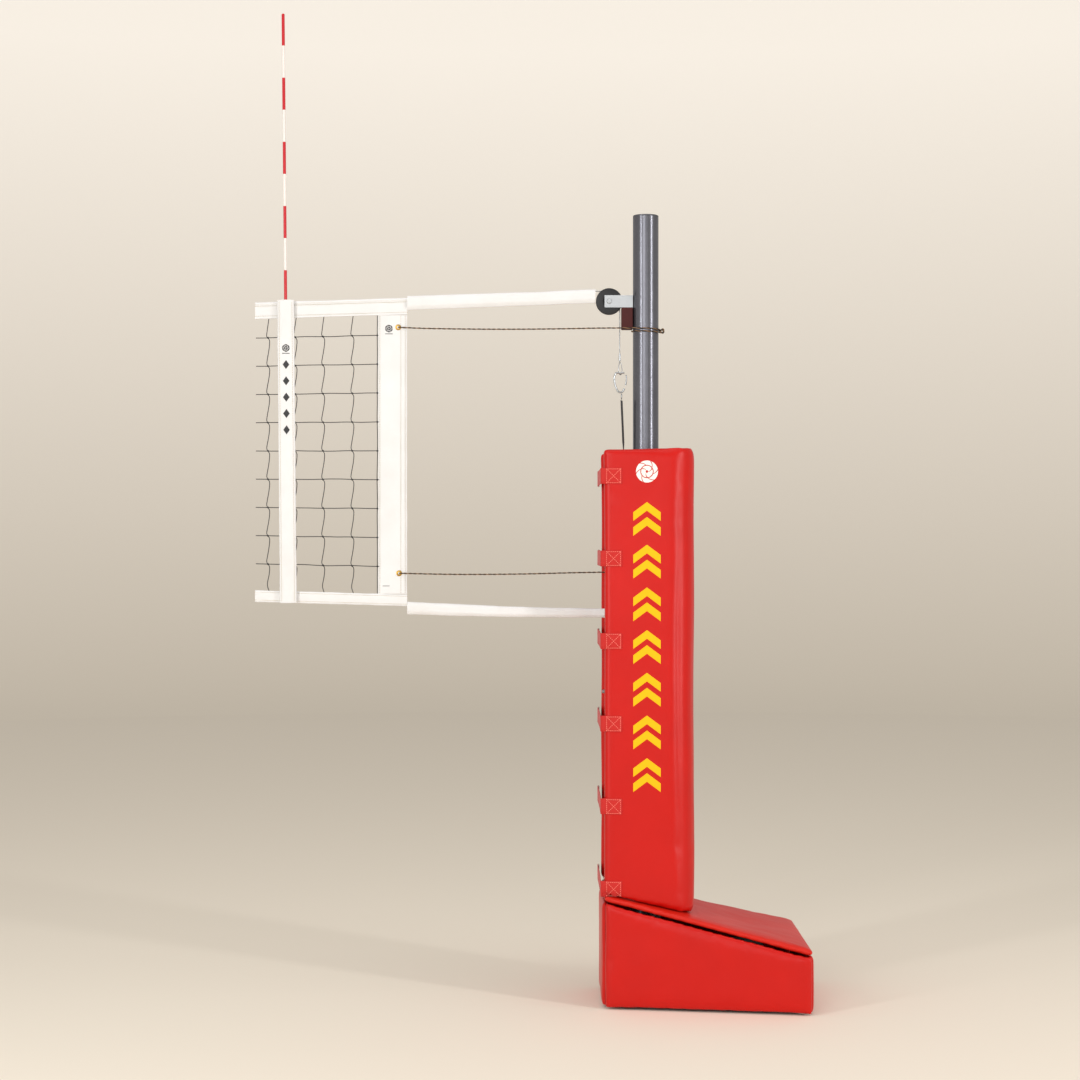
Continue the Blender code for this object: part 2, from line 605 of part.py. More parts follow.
def make_head_cable():
    cord("top_cable", cable_line(), CABLE_R, STEEL, points=0)
    x_low, x_high = NET_END_X + 0.0008, -0.1620
    frames = []
    for k in range(13):
        t = k / 12
        x = x_low + (x_high - x_low) * t
        frames.append((Vector((x, 0, 2.2340 + 0.0215 * t)), Y_AXIS, Z_AXIS * (1.0 - 0.05 * t)))
    inner = [(a * 0.0070, 0.0042 + b * 0.0175) for a, b in oval(1, 1, 20)]
    swept("top_sleeve", frames, oval(0.0100, 0.0240, 20), inner, TAPE_CLOTH)
    drop_top = PULLEY.z - 0.0008
    cord("cable_drop", [(DROP_X, 0, drop_top), (DROP_X, 0, 2.15), (DROP_X, 0, DROP_END_Z + GAP)], CABLE_R,
         STEEL, points=10)


def make_bottom_sleeve():
    frames = []
    for k in range(19):
        t = k / 18
        x = NET_END_X + 0.0008 + (-0.088 - NET_END_X) * t
        z = 1.2530 - 0.0165 * t - 0.0035 * math.sin(math.pi * t)
        y = -0.030 * max(0.0, (x + 0.20) / 0.11) ** 2 if x > -0.20 else 0.0
        frames.append((Vector((x, y, z)), Y_AXIS, Z_AXIS * (1.0 - 0.32 * t)))
    swept("bottom_sleeve", frames, oval(0.0100, 0.0215, 20), None, TAPE_CLOTH)


def make_ropes():
    """Upper rope round the mast with its knot, and lower rope to the tie ring on the fixed tube."""
    wrap_r = MAST_R + ROPE_R + 0.0014
    front = NET_END_X - 0.0285
    start = Vector((front, -0.0052, 2.156))
    route = [start, Vector((-0.70, -0.0120, 2.1515)), Vector((-0.50, -0.0225, 2.1480)),
             Vector((-0.30, -0.0330, 2.1480)), Vector((-0.14, -0.0410, 2.1500))]
    for k in range(21):
        a = math.radians(262 + 22 * k)
        lift = UPPER_ROPE_Z - 0.0110 * (k / 20)
        route.append(Vector((wrap_r * math.cos(a), wrap_r * math.sin(a), lift - 0.002)))
    route.append(Vector((0.0560, -0.0170, UPPER_ROPE_Z - 0.0165)))
    cord("upper_rope", route, ROPE_R, ROPE, points=78)
    end = Vector((-0.62, -0.785, 0)).normalized() * 0.0775
    cord("lower_rope", [(front + 0.003, -0.0052, 1.365), (-0.60, -0.0120, 1.3615), (-0.40, -0.0230, 1.3630),
                        (-0.22, -0.0380, 1.3675), (end.x - 0.004, end.y, LOWER_ROPE_Z)], ROPE_R, ROPE, points=60)


def flat_strap(name, route, pivot=(0, 0, 0)):
    """Webbing strap on edge to the front: its width runs along Y."""
    half_w, half_t = STRAP_WIDE / 2, STRAP_THICK / 2
    frames = []
    for k, point in enumerate(route):
        before, after = route[max(k - 1, 0)], route[min(k + 1, len(route) - 1)]
        along = (after - before).normalized()
        frames.append((point, Y_AXIS, along.cross(Y_AXIS)))
    outline = [(-half_w, -half_t), (half_w, -half_t), (half_w, half_t), (-half_w, half_t)]
    return swept(name, frames, outline, None, BLACK_WEB, pivot)


def make_strap():
    flat_strap("strap_lower", [Vector((STRAP_X, 0, z)) for z in (DRUM.z + 0.0005, 1.2, 1.4, 1.6,
                                                                STRAP_SPLIT_Z - GAP)])
    top = Vector((-0.0777, 0, LINK_BOTTOM_Z - 0.001))
    flat_strap("strap_upper", [Vector((STRAP_X, 0, STRAP_SPLIT_Z)), Vector((STRAP_X - 0.0007, 0, 1.790)), top])


# --- pulley and snap hook -----------------------------------------------------------------------
def make_pulley():
    half, groove_r = 0.0090, CABLE_RUN_R - CABLE_R - 0.0008
    profile = [(PULLEY_R, half - 0.0015), (PULLEY_R - 0.0015, half), (0.020, half), (0.018, half - 0.002),
               (0.0125, half - 0.002), (0.0115, half + 0.0005), (0.0056, half + 0.0005),
               (0.0056, -half - 0.0005), (0.0115, -half - 0.0005), (0.0125, 0.002 - half), (0.018, 0.002 - half),
               (0.020, -half), (PULLEY_R - 0.0015, -half), (PULLEY_R, 0.0015 - half), (PULLEY_R, -0.0058),
               (groove_r, -0.0030), (groove_r, 0.0030), (PULLEY_R, 0.0058)]
    turned("pulley_wheel", profile, PULLEY, (0, 1, 0), PULLEY_BLACK, sides=40, closed=True)
    inner, outer = 0.0105, 0.0145
    near, far = -MAST_R - 0.0006, -0.1325
    outline = [(near, -outer), (near, outer), (far, outer), (far, inner), (near - 0.014, inner),
               (near - 0.014, -inner), (far, -inner), (far, -outer)]
    bracket = prism("pulley_bracket", outline, 2.219, 2.258, STEEL)
    hole = turned("bracket_hole", [(0, -0.03), (0.0056, -0.03), (0.0056, 0.03), (0, 0.03)], PULLEY, (0, 1, 0), STEEL)
    cut(bracket, hole)
    reach = outer + GAP
    turned("pulley_bolt", [(0, -reach - 0.0055), (0.0070, -reach - 0.0055, "hex"), (0.0080, -reach - 0.0045, "hex"),
                           (0.0080, -reach, "hex"), (0.0050, -reach), (0.0050, reach), (0.0080, reach, "hex"),
                           (0.0080, reach + 0.006, "hex"), (0.0050, reach + 0.006), (0.0050, reach + 0.009),
                           (0, reach + 0.009)], PULLEY, (0, 1, 0), STEEL, sides=24)
    block("rope_block", (-0.0785, -0.020, 2.1485), (-MAST_R - 0.0006, 0.020, 2.219 - GAP), MAROON, edge=0.002)


def make_snap_hook():
    """Crimped cable loop, pear-shaped snap hook with a sprung gate, and the link that takes the strap."""
    turned("cable_crimp", [(0, 0), (0.0034, 0), (0.0036, 0.002), (0.0036, 0.020), (0.0034, 0.022), (0, 0.022)],
           (DROP_X, 0, DROP_END_Z - 0.022), (0, 0, 1), STEEL, sides=16)
    crimp_z, bar_z, spread = DROP_END_Z - 0.0225, HOOK_TOP_Z - 0.0030, 0.0070
    cord("cable_loop", [(DROP_X, 0, crimp_z), (HOOK_X - 0.005, -0.006, 2.030), (HOOK_X - 0.005, -spread, bar_z + 0.001),
                        (HOOK_X, 0, bar_z - 0.0065), (HOOK_X + 0.005, spread, bar_z + 0.001),
                        (HOOK_X + 0.005, 0.006, 2.030), (DROP_X + 0.0022, 0.0026, crimp_z - 0.0025)],
         0.0014, STEEL, points=36)
    wire = 0.0030
    outline = []
    for k in range(28):
        a = math.tau * k / 28
        half_width = 0.0180 - 0.0055 * (0.5 - 0.5 * math.sin(a))
        outline.append(Vector((HOOK_X + half_width * math.cos(a), 0, 1.9800 + 0.0330 * math.sin(a))))
    body = outline[5:26]
    cord("snap_hook", body, wire, STEEL, points=48, resolution=3)
    gate = [outline[26], outline[27], outline[0], outline[1], outline[2], outline[3], outline[4]]
    ends = [gate[0].lerp(gate[1], 0.55), gate[-1].lerp(gate[-2], 0.55)]
    cord("hook_gate", [ends[0]] + gate[1:-1] + [ends[1]], 0.0022, STEEL, points=12, pivot=ends[0])
    frames = []
    centre = Vector((HOOK_X + 0.0038, 0, 1.9330))
    for k in range(20):
        a = math.tau * k / 20
        out = Vector((0, math.cos(a), math.sin(a)))
        place = centre + Vector((0, 0.0145 * math.cos(a), 0.0085 * math.sin(a)))
        frames.append((place, X_AXIS, out))
    swept("strap_link", frames, oval(0.0016, 0.0016, 8), None, STEEL, loop=True)


make_base()
make_wheels()
make_base_pads()
make_column_pad()
make_post()
make_winch()
make_tapes()
make_net_mesh()
make_antenna()
make_head_cable()
make_bottom_sleeve()
make_ropes()
make_strap()
make_pulley()
make_snap_hook()
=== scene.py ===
"""Freestanding volleyball standard with padded base and column, and the end of its net: the looks.

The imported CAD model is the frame. Each section below makes one piece, or one group of like pieces, as it
is put together on the real standard: padding, post, winch, net, cables and ropes.
"""
import math

import bmesh
import bpy
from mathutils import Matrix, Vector, noise
from mathutils.bvhtree import BVHTree


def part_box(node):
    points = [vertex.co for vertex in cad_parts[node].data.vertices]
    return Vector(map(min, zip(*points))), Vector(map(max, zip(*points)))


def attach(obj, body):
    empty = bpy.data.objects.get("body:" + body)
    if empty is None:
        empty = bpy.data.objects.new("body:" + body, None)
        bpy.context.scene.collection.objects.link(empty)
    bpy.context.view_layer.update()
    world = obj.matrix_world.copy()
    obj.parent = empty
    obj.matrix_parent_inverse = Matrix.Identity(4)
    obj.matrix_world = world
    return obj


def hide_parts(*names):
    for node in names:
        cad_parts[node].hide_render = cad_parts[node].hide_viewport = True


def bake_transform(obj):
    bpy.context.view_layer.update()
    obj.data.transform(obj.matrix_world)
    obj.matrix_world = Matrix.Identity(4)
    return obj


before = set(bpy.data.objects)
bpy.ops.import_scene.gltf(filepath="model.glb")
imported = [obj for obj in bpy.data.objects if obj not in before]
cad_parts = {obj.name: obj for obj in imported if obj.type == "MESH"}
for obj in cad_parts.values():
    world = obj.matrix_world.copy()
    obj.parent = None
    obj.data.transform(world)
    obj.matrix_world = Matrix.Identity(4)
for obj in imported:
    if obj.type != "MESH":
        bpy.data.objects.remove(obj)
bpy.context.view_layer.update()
scene = bpy.context.scene

# --- Studio: a pale seamless sweep under large soft lamps ----------------------------------------
# The floor curves up into a wall all round, so there is no horizon from any side. The wall has a painted
# glow, emitted light that grows with height, and it neither shades the object nor mirrors in it. Tall narrow
# lamps stand where the round post mirrors them as upright streaks, and one wide lamp in front lights the
# padding evenly.


def linear(code):
    """sRGB hex to the linear colour that a shader takes."""
    channels = [int(code[k:k + 2], 16) / 255 for k in (1, 3, 5)]
    return tuple(c / 12.92 if c <= 0.04045 else ((c + 0.055) / 1.055) ** 2.4 for c in channels) + (1.0,)


def add_node(tree, kind, inputs=(), **settings):
    """Add one shader or geometry node; inputs maps a socket's name or number to a value or another socket."""
    node = tree.nodes.new(kind)
    for name, value in settings.items():
        setattr(node, name, value)
    for socket, value in dict(inputs).items():
        if isinstance(value, bpy.types.NodeSocket):
            tree.links.new(value, node.inputs[socket])
        else:
            node.inputs[socket].default_value = value
    return node


def new_finish(name, colour, roughness, metallic=0.0, **more):
    """A Principled finish with its uniform values on the shader's own sockets."""
    material = bpy.data.materials.new(name)
    material.use_nodes = True
    tree = material.node_tree
    shader = tree.nodes["Principled BSDF"]
    shader.inputs["Base Color"].default_value = linear(colour)
    shader.inputs["Roughness"].default_value = roughness
    shader.inputs["Metallic"].default_value = metallic
    for socket, value in more.items():
        shader.inputs[socket.replace("_", " ")].default_value = value
    return material, tree, shader


def new_piece(name, verts, faces, *materials, smooth=50):
    mesh = bpy.data.meshes.new(name)
    mesh.from_pydata([tuple(v) for v in verts], [], faces)
    mesh.update()
    for material in materials:
        mesh.materials.append(material)
    mesh.shade_smooth()
    mesh.set_sharp_from_angle(angle=math.radians(smooth))
    piece = bpy.data.objects.new(name, mesh)
    scene.collection.objects.link(piece)
    return piece


def revolve(name, line, material, steps=96):
    """Studio surface of revolution round the upright axis; line is (radius, height) points."""
    verts = [(radius * math.cos(math.tau * k / steps), radius * math.sin(math.tau * k / steps), height)
             for radius, height in line for k in range(steps)]
    faces = [(r * steps + k, r * steps + (k + 1) % steps, (r + 1) * steps + (k + 1) % steps,
              (r + 1) * steps + k)
             for r in range(len(line) - 1) for k in range(steps)]
    return new_piece(name, verts, faces, material)


def height_in(tree):
    """The socket that gives a point's height in the piece's own frame."""
    where = add_node(tree, "ShaderNodeTexCoord").outputs["Object"]
    return add_node(tree, "ShaderNodeSeparateXYZ", {"Vector": where}).outputs["Z"]


paper, _, _ = new_finish("Backdrop paper", "#F3E9D9", 0.9)
floor_reach, cove, cove_steps = 12.0, 4.0, 12
wall_top, full_glow_height = 16.0, 6.5
cove_angles = [math.radians(90 * k / cove_steps) for k in range(cove_steps + 1)]
cove_line = [(floor_reach + cove * math.sin(a), cove - cove * math.cos(a)) for a in cove_angles]
floor = revolve("studio_floor", [(0.0001, 0.0), (floor_reach, 0.0)], paper)
# Painted glow: the wall's paper emits light of its own, none at the floor and full at full_glow_height.
glow_paper, tree, shader = new_finish("Backdrop paper, painted glow rising with height", "#F3E9D9", 0.9,
                                      Emission_Strength=0.40)
rise = add_node(tree, "ShaderNodeMapRange", {"Value": height_in(tree), "From Min": 0.0,
                                             "From Max": full_glow_height})
glow = add_node(tree, "ShaderNodeMix",
                {"Factor": rise.outputs["Result"], 6: linear("#000000"), 7: linear("#FFFFFF")},
                data_type="RGBA")
tree.links.new(glow.outputs[2], shader.inputs["Emission Color"])
wall = revolve("studio_wall", cove_line + [(floor_reach + cove, wall_top)], glow_paper)
wall.visible_shadow = wall.visible_diffuse = wall.visible_glossy = False

camera_data = bpy.data.cameras.new("camera")
camera_data.lens, camera_data.sensor_width = 74.7, 36.0
camera = bpy.data.objects.new("camera", camera_data)
camera.location = (-0.340, -7.21, 1.472)
camera.rotation_euler = (math.radians(90), 0, 0)
scene.collection.objects.link(camera)
scene.camera = camera

for name, place, size, power in (("key_left", (-2.0, -6.2, 3.3), (2.2, 2.6), 62),
                                 ("streak_left", (-3.6, -3.7, 2.2), (0.40, 3.6), 74),
                                 ("streak_right", (4.0, -3.2, 2.2), (0.35, 3.6), 92),
                                 ("front_fill", (0.6, -8.5, 2.2), (4.0, 3.0), 40),
                                 ("backdrop_wash", (0.0, -1.5, 7.0), (7.0, 3.0), 90)):
    lamp = bpy.data.lights.new(name, "AREA")
    lamp.shape, lamp.size, lamp.size_y, lamp.energy = "RECTANGLE", *size, power
    lamp_object = bpy.data.objects.new(name, lamp)
    lamp_object.location = place
    aim = Vector((-0.2, 3.0, 1.6)) if name == "backdrop_wash" else Vector((-0.2, 0, 1.3))
    lamp_object.rotation_euler = (aim - Vector(place)).to_track_quat("-Z", "Y").to_euler()
    lamp_object.visible_camera = False
    scene.collection.objects.link(lamp_object)
world = bpy.data.worlds.new("soft_room")
world.use_nodes = True
world.node_tree.nodes["Background"].inputs["Color"].default_value = linear("#F2EEE8")
world.node_tree.nodes["Background"].inputs["Strength"].default_value = 0.60
scene.world = world
scene.view_settings.view_transform = "Standard"

# --- Padding: foam panels in red vinyl-coated cloth ----------------------------------------------
# Closed-cell foam sewn into PVC-coated polyester, the cloth of gym mats. The calendered face is glossy,
# with a fine pebble grain, and the foam swells it into long shallow waves between the sewn edges.


def vinyl_finish(name, colour, shade, roughness=0.36):
    """Vinyl-coated cloth: pebble grain 2 mm across, and soft dents 60 to 150 mm long."""
    material, tree, shader = new_finish(name, colour, roughness, Coat_Weight=0.06, Coat_Roughness=0.25,
                                        Specular_IOR_Level=0.25)
    where = add_node(tree, "ShaderNodeTexCoord").outputs["Object"]
    cloud = add_node(tree, "ShaderNodeTexNoise",
                     {"Vector": where, "Scale": 7.0, "Detail": 3.0, "Roughness": 0.55})
    tint = add_node(tree, "ShaderNodeMix",
                    {"Factor": cloud.outputs["Fac"], 6: linear(shade), 7: linear(colour)},
                    data_type="RGBA")
    tree.links.new(tint.outputs[2], shader.inputs["Base Color"])
    pebble = add_node(tree, "ShaderNodeTexVoronoi", {"Vector": where, "Scale": 420.0}, feature="F1")
    dents = add_node(tree, "ShaderNodeTexNoise", {"Vector": where, "Scale": 16.0, "Detail": 2.0})
    grain = add_node(tree, "ShaderNodeBump", {"Height": pebble.outputs["Distance"], "Strength": 0.16,
                                              "Distance": 0.0006})
    waves = add_node(tree, "ShaderNodeBump",
                     {"Height": dents.outputs["Fac"], "Strength": 0.30, "Distance": 0.0035,
                                              "Normal": grain.outputs["Normal"]})
    tree.links.new(waves.outputs["Normal"], shader.inputs["Normal"])
    gloss = add_node(tree, "ShaderNodeMapRange", {"Value": cloud.outputs["Fac"], "To Min": roughness + 0.06,
                                                  "To Max": roughness - 0.05})
    tree.links.new(gloss.outputs["Result"], shader.inputs["Roughness"])
    return material


red_vinyl = vinyl_finish("PVC-coated cloth, red gloss", "#CF150C", "#BE1109")
lid_vinyl = vinyl_finish("PVC-coated cloth, red, lid", "#DA2413", "#C51B0D", 0.42)

base_low, base_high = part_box("base_lid")
net_x, out_x = base_low.x, base_high.x
out_half = base_high.y
panel_thick = 0.022
net_half = panel_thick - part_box("base_pad_front")[1].y
lid_thick = 0.018
seam_net, seam_out = base_high.z - lid_thick, base_low.z


def base_half(x):
    return net_half + (out_half - net_half) * (x - net_x) / (out_x - net_x)


def seam_z(x):
    return seam_net + (seam_out - seam_net) * (x - net_x) / (out_x - net_x)


def turn_faces_out(piece):
    """Make every face of a closed piece look outward."""
    work = bmesh.new()
    work.from_mesh(piece.data)
    bmesh.ops.recalc_face_normals(work, faces=work.faces)
    work.to_mesh(piece.data)
    work.free()


def skin_of(piece):
    """The piece's surface, ready to be searched along a ray."""
    mesh = piece.data
    return BVHTree.FromPolygons([v.co for v in mesh.vertices], [f.vertices for f in mesh.polygons])


def soft_prism(name, outline, low, high, round_edge, voxel, material, swell=0.0, cap=0.008, levels=1):
    """Foam pad: a bevelled prism, remeshed to even quads, swelled as cloth under pressure, then refined."""
    count = len(outline)
    verts = [(x, y, low(x, y)) for x, y in outline] + [(x, y, high(x, y)) for x, y in outline]
    faces = [tuple(range(count - 1, -1, -1)), tuple(range(count, 2 * count))]
    faces += [(k, (k + 1) % count, count + (k + 1) % count, count + k) for k in range(count)]
    pad = new_piece(name, verts, faces, material)
    turn_faces_out(pad)
    soft = pad.modifiers.new("soft_edge", "BEVEL")
    soft.width, soft.segments, soft.angle_limit = round_edge, 4, math.radians(35)
    even = pad.modifiers.new("even_quads", "REMESH")
    even.mode, even.voxel_size = "VOXEL", voxel
    bake_modifiers(pad)
    if swell:
        start = [v.co.copy() for v in pad.data.vertices]
        cloth = pad.modifiers.new("cloth", "CLOTH")
        cloth.settings.use_pressure = True
        cloth.settings.uniform_pressure_force = swell
        cloth.settings.effector_weights.gravity = 0
        cloth.settings.tension_stiffness = cloth.settings.compression_stiffness = 25
        cloth.settings.bending_stiffness = 2.0
        cloth.point_cache.frame_start, cloth.point_cache.frame_end = 1, 20
        for step in range(1, 21):
            scene.frame_set(step)
        swelled = pad.evaluated_get(bpy.context.evaluated_depsgraph_get()).to_mesh()
        ends = [v.co.copy() for v in swelled.vertices]
        pad.modifiers.clear()
        scene.frame_set(1)
        for vert, a, b in zip(pad.data.vertices, start, ends):
            move = b - a
            vert.co = a + move * min(1.0, cap / max(move.length, 1e-9))
    if levels:
        finer = pad.modifiers.new("finer", "SUBSURF")
        finer.levels = finer.render_levels = levels
        bake_modifiers(pad)
    return pad


def bake_modifiers(piece):
    """Turn a piece's modifiers into plain mesh."""
    done = bpy.data.meshes.new_from_object(piece.evaluated_get(bpy.context.evaluated_depsgraph_get()))
    old = piece.data
    piece.modifiers.clear()
    piece.data = done
    bpy.data.meshes.remove(old)
    done.shade_smooth()
    return piece


def push(piece, field):
    """Move each point of a piece along its own normal by field(point, normal), in metres."""
    normals = [n.vector.copy() for n in piece.data.vertex_normals]
    moved = [v.co + n * field(v.co, n) for v, n in zip(piece.data.vertices, normals)]
    piece.data.vertices.foreach_set("co", [c for point in moved for c in point])
    piece.data.update()


def ripple(point, size, seed=0.0):
    return noise.noise(point / size + Vector((seed, 3.1 * seed, 7.7)))


pad_swell, floor_gap = 3.0, 0.0015
side_pads = {}
for name, side in (("base_pad_front", -1), ("base_pad_back", 1)):
    edge = [(net_x + 0.004, 1.0), (out_x - 0.004, 1.0)]
    outline = [(x, side * (base_half(x) - 0.003)) for x, _ in edge]
    outline += [(x, side * (base_half(x) - panel_thick + 0.001)) for x, _ in reversed(edge)]
    pad = soft_prism(name + "_cover", outline, lambda x, y: floor_gap, lambda x, y: seam_z(x) - 0.0012,
                     0.009, 0.0075,
                     red_vinyl, pad_swell, 0.005)
    push(pad, lambda p, n: 0.0016 * ripple(p, 0.11, 2.0) + 0.0008 * ripple(p, 0.045, 5.0))
    side_pads[name] = pad
for name, x_low, x_high in (("base_pad_net_end", net_x, net_x + panel_thick),
                            ("base_pad_outer_end", out_x - panel_thick, out_x)):
    x_low, x_high = x_low + 0.003, x_high - 0.003
    inset = panel_thick + 0.003
    outline = [(x_low, inset - base_half(x_low)), (x_high, inset - base_half(x_high)),
               (x_high, base_half(x_high) - inset), (x_low, base_half(x_low) - inset)]
    pad = soft_prism(name + "_cover", outline, lambda x, y: floor_gap, lambda x, y: seam_z(x) - 0.0012,
                     0.008, 0.0075,
                     red_vinyl, pad_swell, 0.004)
    push(pad, lambda p, n: 0.0014 * ripple(p, 0.10, 3.0))
    side_pads[name] = pad
lid_outline = [(net_x + 0.002, -base_half(net_x) + 0.002), (out_x - 0.002, 0.002 - base_half(out_x)),
               (out_x - 0.002, base_half(out_x) - 0.002), (net_x + 0.002, base_half(net_x) - 0.002)]
lid = soft_prism("base_lid_cover",
                 lid_outline, lambda x, y: seam_z(x) + 0.001, lambda x, y: seam_z(x) + lid_thick, 0.008,
                 0.0080, lid_vinyl, pad_swell, 0.004)
push(lid, lambda p, n: (0.0030 * ripple(p, 0.16, 8.0) + 0.0010 * ripple(p, 0.05, 1.0))
     if n.z > 0.5 and p.x > 0.16 else 0.0)
side_pads["base_lid"] = lid
for name, pad in side_pads.items():
    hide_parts(name)
    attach(pad, "base")

# --- Column pad: one folded foam panel round the post, open towards the net -----------------------
# A 45 mm foam mat in the same cloth, wrapped in a U with round outer corners. Its top and its two free
# edges are bound and sewn, and its foot is cut on the slope of the base lid.
column_low, column_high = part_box("column_pad")
foam, corner_r = 0.045, 0.068
half = column_high.y


def fold_outline(inset):
    """U-shaped section of the wrapped mat, drawn in by inset."""
    def corner(cx, cy, radius, start):
        return [(cx + radius * math.cos(math.radians(start + 9 * k)),
                 cy + radius * math.sin(math.radians(start + 9 * k)))
                for k in range(11)]

    outer, inner = corner_r - inset, corner_r - foam + inset
    cx, cy = column_high.x - corner_r, half - corner_r
    left = column_low.x + inset
    line = [(left + 0.010, inset - half)] + corner(cx, -cy, outer, 270) + corner(cx, cy, outer, 0)
    line += [(left + 0.010, half - inset), (left, half - inset - 0.010), (left, half - foam + inset)]
    line += corner(cx, cy, inner, 0)[::-1] + corner(cx, -cy, inner, 270)[::-1]
    return line + [(left, foam - half - inset), (left, inset + 0.010 - half)]


column = soft_prism("column_pad_cover", fold_outline(0.003), lambda x, y: seam_z(x) + lid_thick + 0.002,
                    lambda x, y: column_high.z - 0.003 - 0.006 * max(0.0, (0.02 - x) / 0.166), 0.009,
                    0.0105, red_vinyl,
                    2.5, 0.005)


def column_waves(p, n):
    """Long shallow waves down the mat, and short creases where its foot is squeezed on the lid."""
    long_wave = 0.0022 * ripple(Vector((p.x, p.y, p.z * 0.45)), 0.10, 4.0)
    foot = math.exp(-max(p.z - seam_z(p.x) - lid_thick, 0.0) / 0.030)
    crease = 0.0030 * foot * ripple(Vector((p.x, p.y, 0.2 * p.z)), 0.045, 9.0)
    outside = -half + 0.02 < p.y < half - 0.02 or abs(n.y) > 0.5
    return long_wave + crease - 0.0015 * foot if outside else long_wave


push(column, column_waves)
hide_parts("column_pad")
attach(column, "base")

# --- Marks on the column: heat-pressed vinyl film -------------------------------------------------
# Film half a millimetre thick, pressed onto the front of the mat so that it follows its waves: seven
# yellow double chevrons down the front and a small white ball sign above them.
column_skin = skin_of(column)


def on_front(skin, x, z, proud=0.0):
    """Point on the front of a piece at x, z, lifted towards the viewer; under its foot it hangs straight."""
    hit, height = None, z
    while hit is None:
        hit = skin.ray_cast(Vector((x, -1.0, height)), Vector((0, 1, 0)))[0]
        height += 0.004
    return Vector((x, hit.y - proud, z))


def film(name, skin, patches, material, proud=0.0008, cell=0.006):
    """Thin closed film over a surface, one grid for each patch; a patch maps (s, t) to x and z."""
    verts, faces = [], []
    for patch in patches:
        def span(a, b):
            (ax, az), (bx, bz) = patch(*a), patch(*b)
            return max(2, int(math.hypot(bx - ax, bz - az) / cell) + 1)

        cols, rows = span((0, 0), (1, 0)) + 1, span((0, 0), (0, 1)) + 1
        first = len(verts)
        for lift in (proud, -0.0006):
            for r in range(rows + 1):
                for c in range(cols + 1):
                    x, z = patch(c / cols, r / rows)
                    verts.append(on_front(skin, x, z, lift))
        wide, deep = cols + 1, (cols + 1) * (rows + 1)
        for r in range(rows):
            for c in range(cols):
                a = first + r * wide + c
                faces.append((a, a + 1, a + wide + 1, a + wide))
                faces.append((a + deep, a + deep + wide, a + deep + wide + 1, a + deep + 1))
        rim = [first + c for c in range(cols)] + [first + r * wide + cols for r in range(rows)]
        rim += [first + rows * wide + c for c in range(cols, 0, -1)]
        rim += [first + r * wide for r in range(rows, 0, -1)]
        faces += [(rim[k], rim[k] + deep, rim[(k + 1) % len(rim)] + deep, rim[(k + 1) % len(rim)])
                  for k in range(len(rim))]
    piece = new_piece(name, verts, faces, material, smooth=40)
    turn_faces_out(piece)
    return piece


def quad_patch(a, b, c, d):
    return lambda s, t: tuple((a[k] * (1 - s) + b[k] * s) * (1 - t) + (d[k] * (1 - s) + c[k] * s) * t
                              for k in (0, 1))


def ring_patch(cx, cz, r_low, r_high, start, sweep, twist):
    """Part of a ring; twist turns its outer edge on, in degrees."""
    def spot(s, t):
        radius, angle = r_low + (r_high - r_low) * t, math.radians(start + sweep * s + twist * t)
        return cx + radius * math.cos(angle), cz + radius * math.sin(angle)

    return spot


yellow_film, _, _ = new_finish("Heat-press film, yellow", "#F7BE02", 0.55, Specular_IOR_Level=0.25)
white_film, _, _ = new_finish("Heat-press film, white", "#F4EFE8", 0.42)
mark_x, mark_pitch, mark_half, mark_rise, mark_stroke = -0.005, 0.1337, 0.043, 0.032, 0.027
chevrons = []
for k in range(7):
    for lower in (0, 1):
        z = 1.538 - mark_pitch * k + 0.053 - mark_stroke - mark_rise - 0.047 * lower
        for side in (-1, 1):
            corners = [(mark_x + side * mark_half, z), (mark_x, z + mark_rise),
                       (mark_x, z + mark_rise + mark_stroke),
                       (mark_x + side * mark_half, z + mark_stroke)]
            chevrons.append(quad_patch(*corners))
marks = film("yellow_chevrons", column_skin, chevrons, yellow_film)
ball_z = 1.6865
ball = [ring_patch(mark_x, ball_z, 0.004, 0.0185, 120 * k, 108, 40) for k in range(3)]
ball += [ring_patch(mark_x, ball_z, 0.0210, 0.0345, 60 * k + 44, 53, 30) for k in range(6)]
sign = film("white_ball_sign", column_skin, ball, white_film, cell=0.003)
for piece in (marks, sign):
    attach(piece, "base")

# --- Stitching: bonded thread, one short stitch after another --------------------------------------
# Polyester thread; each stitch is a small capsule that sinks into the cloth at both ends. The real
# thread is under 1 mm, too fine to show, so it is drawn 1.6 mm thick at a 6 mm pitch.


def node_tree(name, *inputs):
    """Geometry node tree with named inputs; gives the tree, its input node and its output node."""
    tree = bpy.data.node_groups.new(name, "GeometryNodeTree")
    tree.interface.new_socket("Geometry", in_out="INPUT", socket_type="NodeSocketGeometry")
    tree.interface.new_socket("Geometry", in_out="OUTPUT", socket_type="NodeSocketGeometry")
    for socket_name, kind, value in inputs:
        socket = tree.interface.new_socket(socket_name, in_out="INPUT", socket_type="NodeSocket" + kind)
        if value is not None:
            socket.default_value = value
    return tree, tree.nodes.new("NodeGroupInput"), tree.nodes.new("NodeGroupOutput")


def grow(name, tree, mesh, **values):
    """Run a tree on a mesh and keep the result as a plain mesh."""
    piece = bpy.data.objects.new(name, mesh)
    scene.collection.objects.link(piece)
    step = piece.modifiers.new("grow", "NODES")
    step.node_group = tree
    for item in tree.interface.items_tree:
        if item.in_out == "INPUT" and item.name in values:
            step[item.identifier] = values[item.name]
    return bake_modifiers(piece)


def line_mesh(name, lines):
    """Mesh of edges only, one open chain for each line."""
    verts, edges = [], []
    for line in lines:
        edges += [(len(verts) + k, len(verts) + k + 1) for k in range(len(line) - 1)]
        verts += [tuple(p) for p in line]
    mesh = bpy.data.meshes.new(name)
    mesh.from_pydata(verts, edges, [])
    return mesh


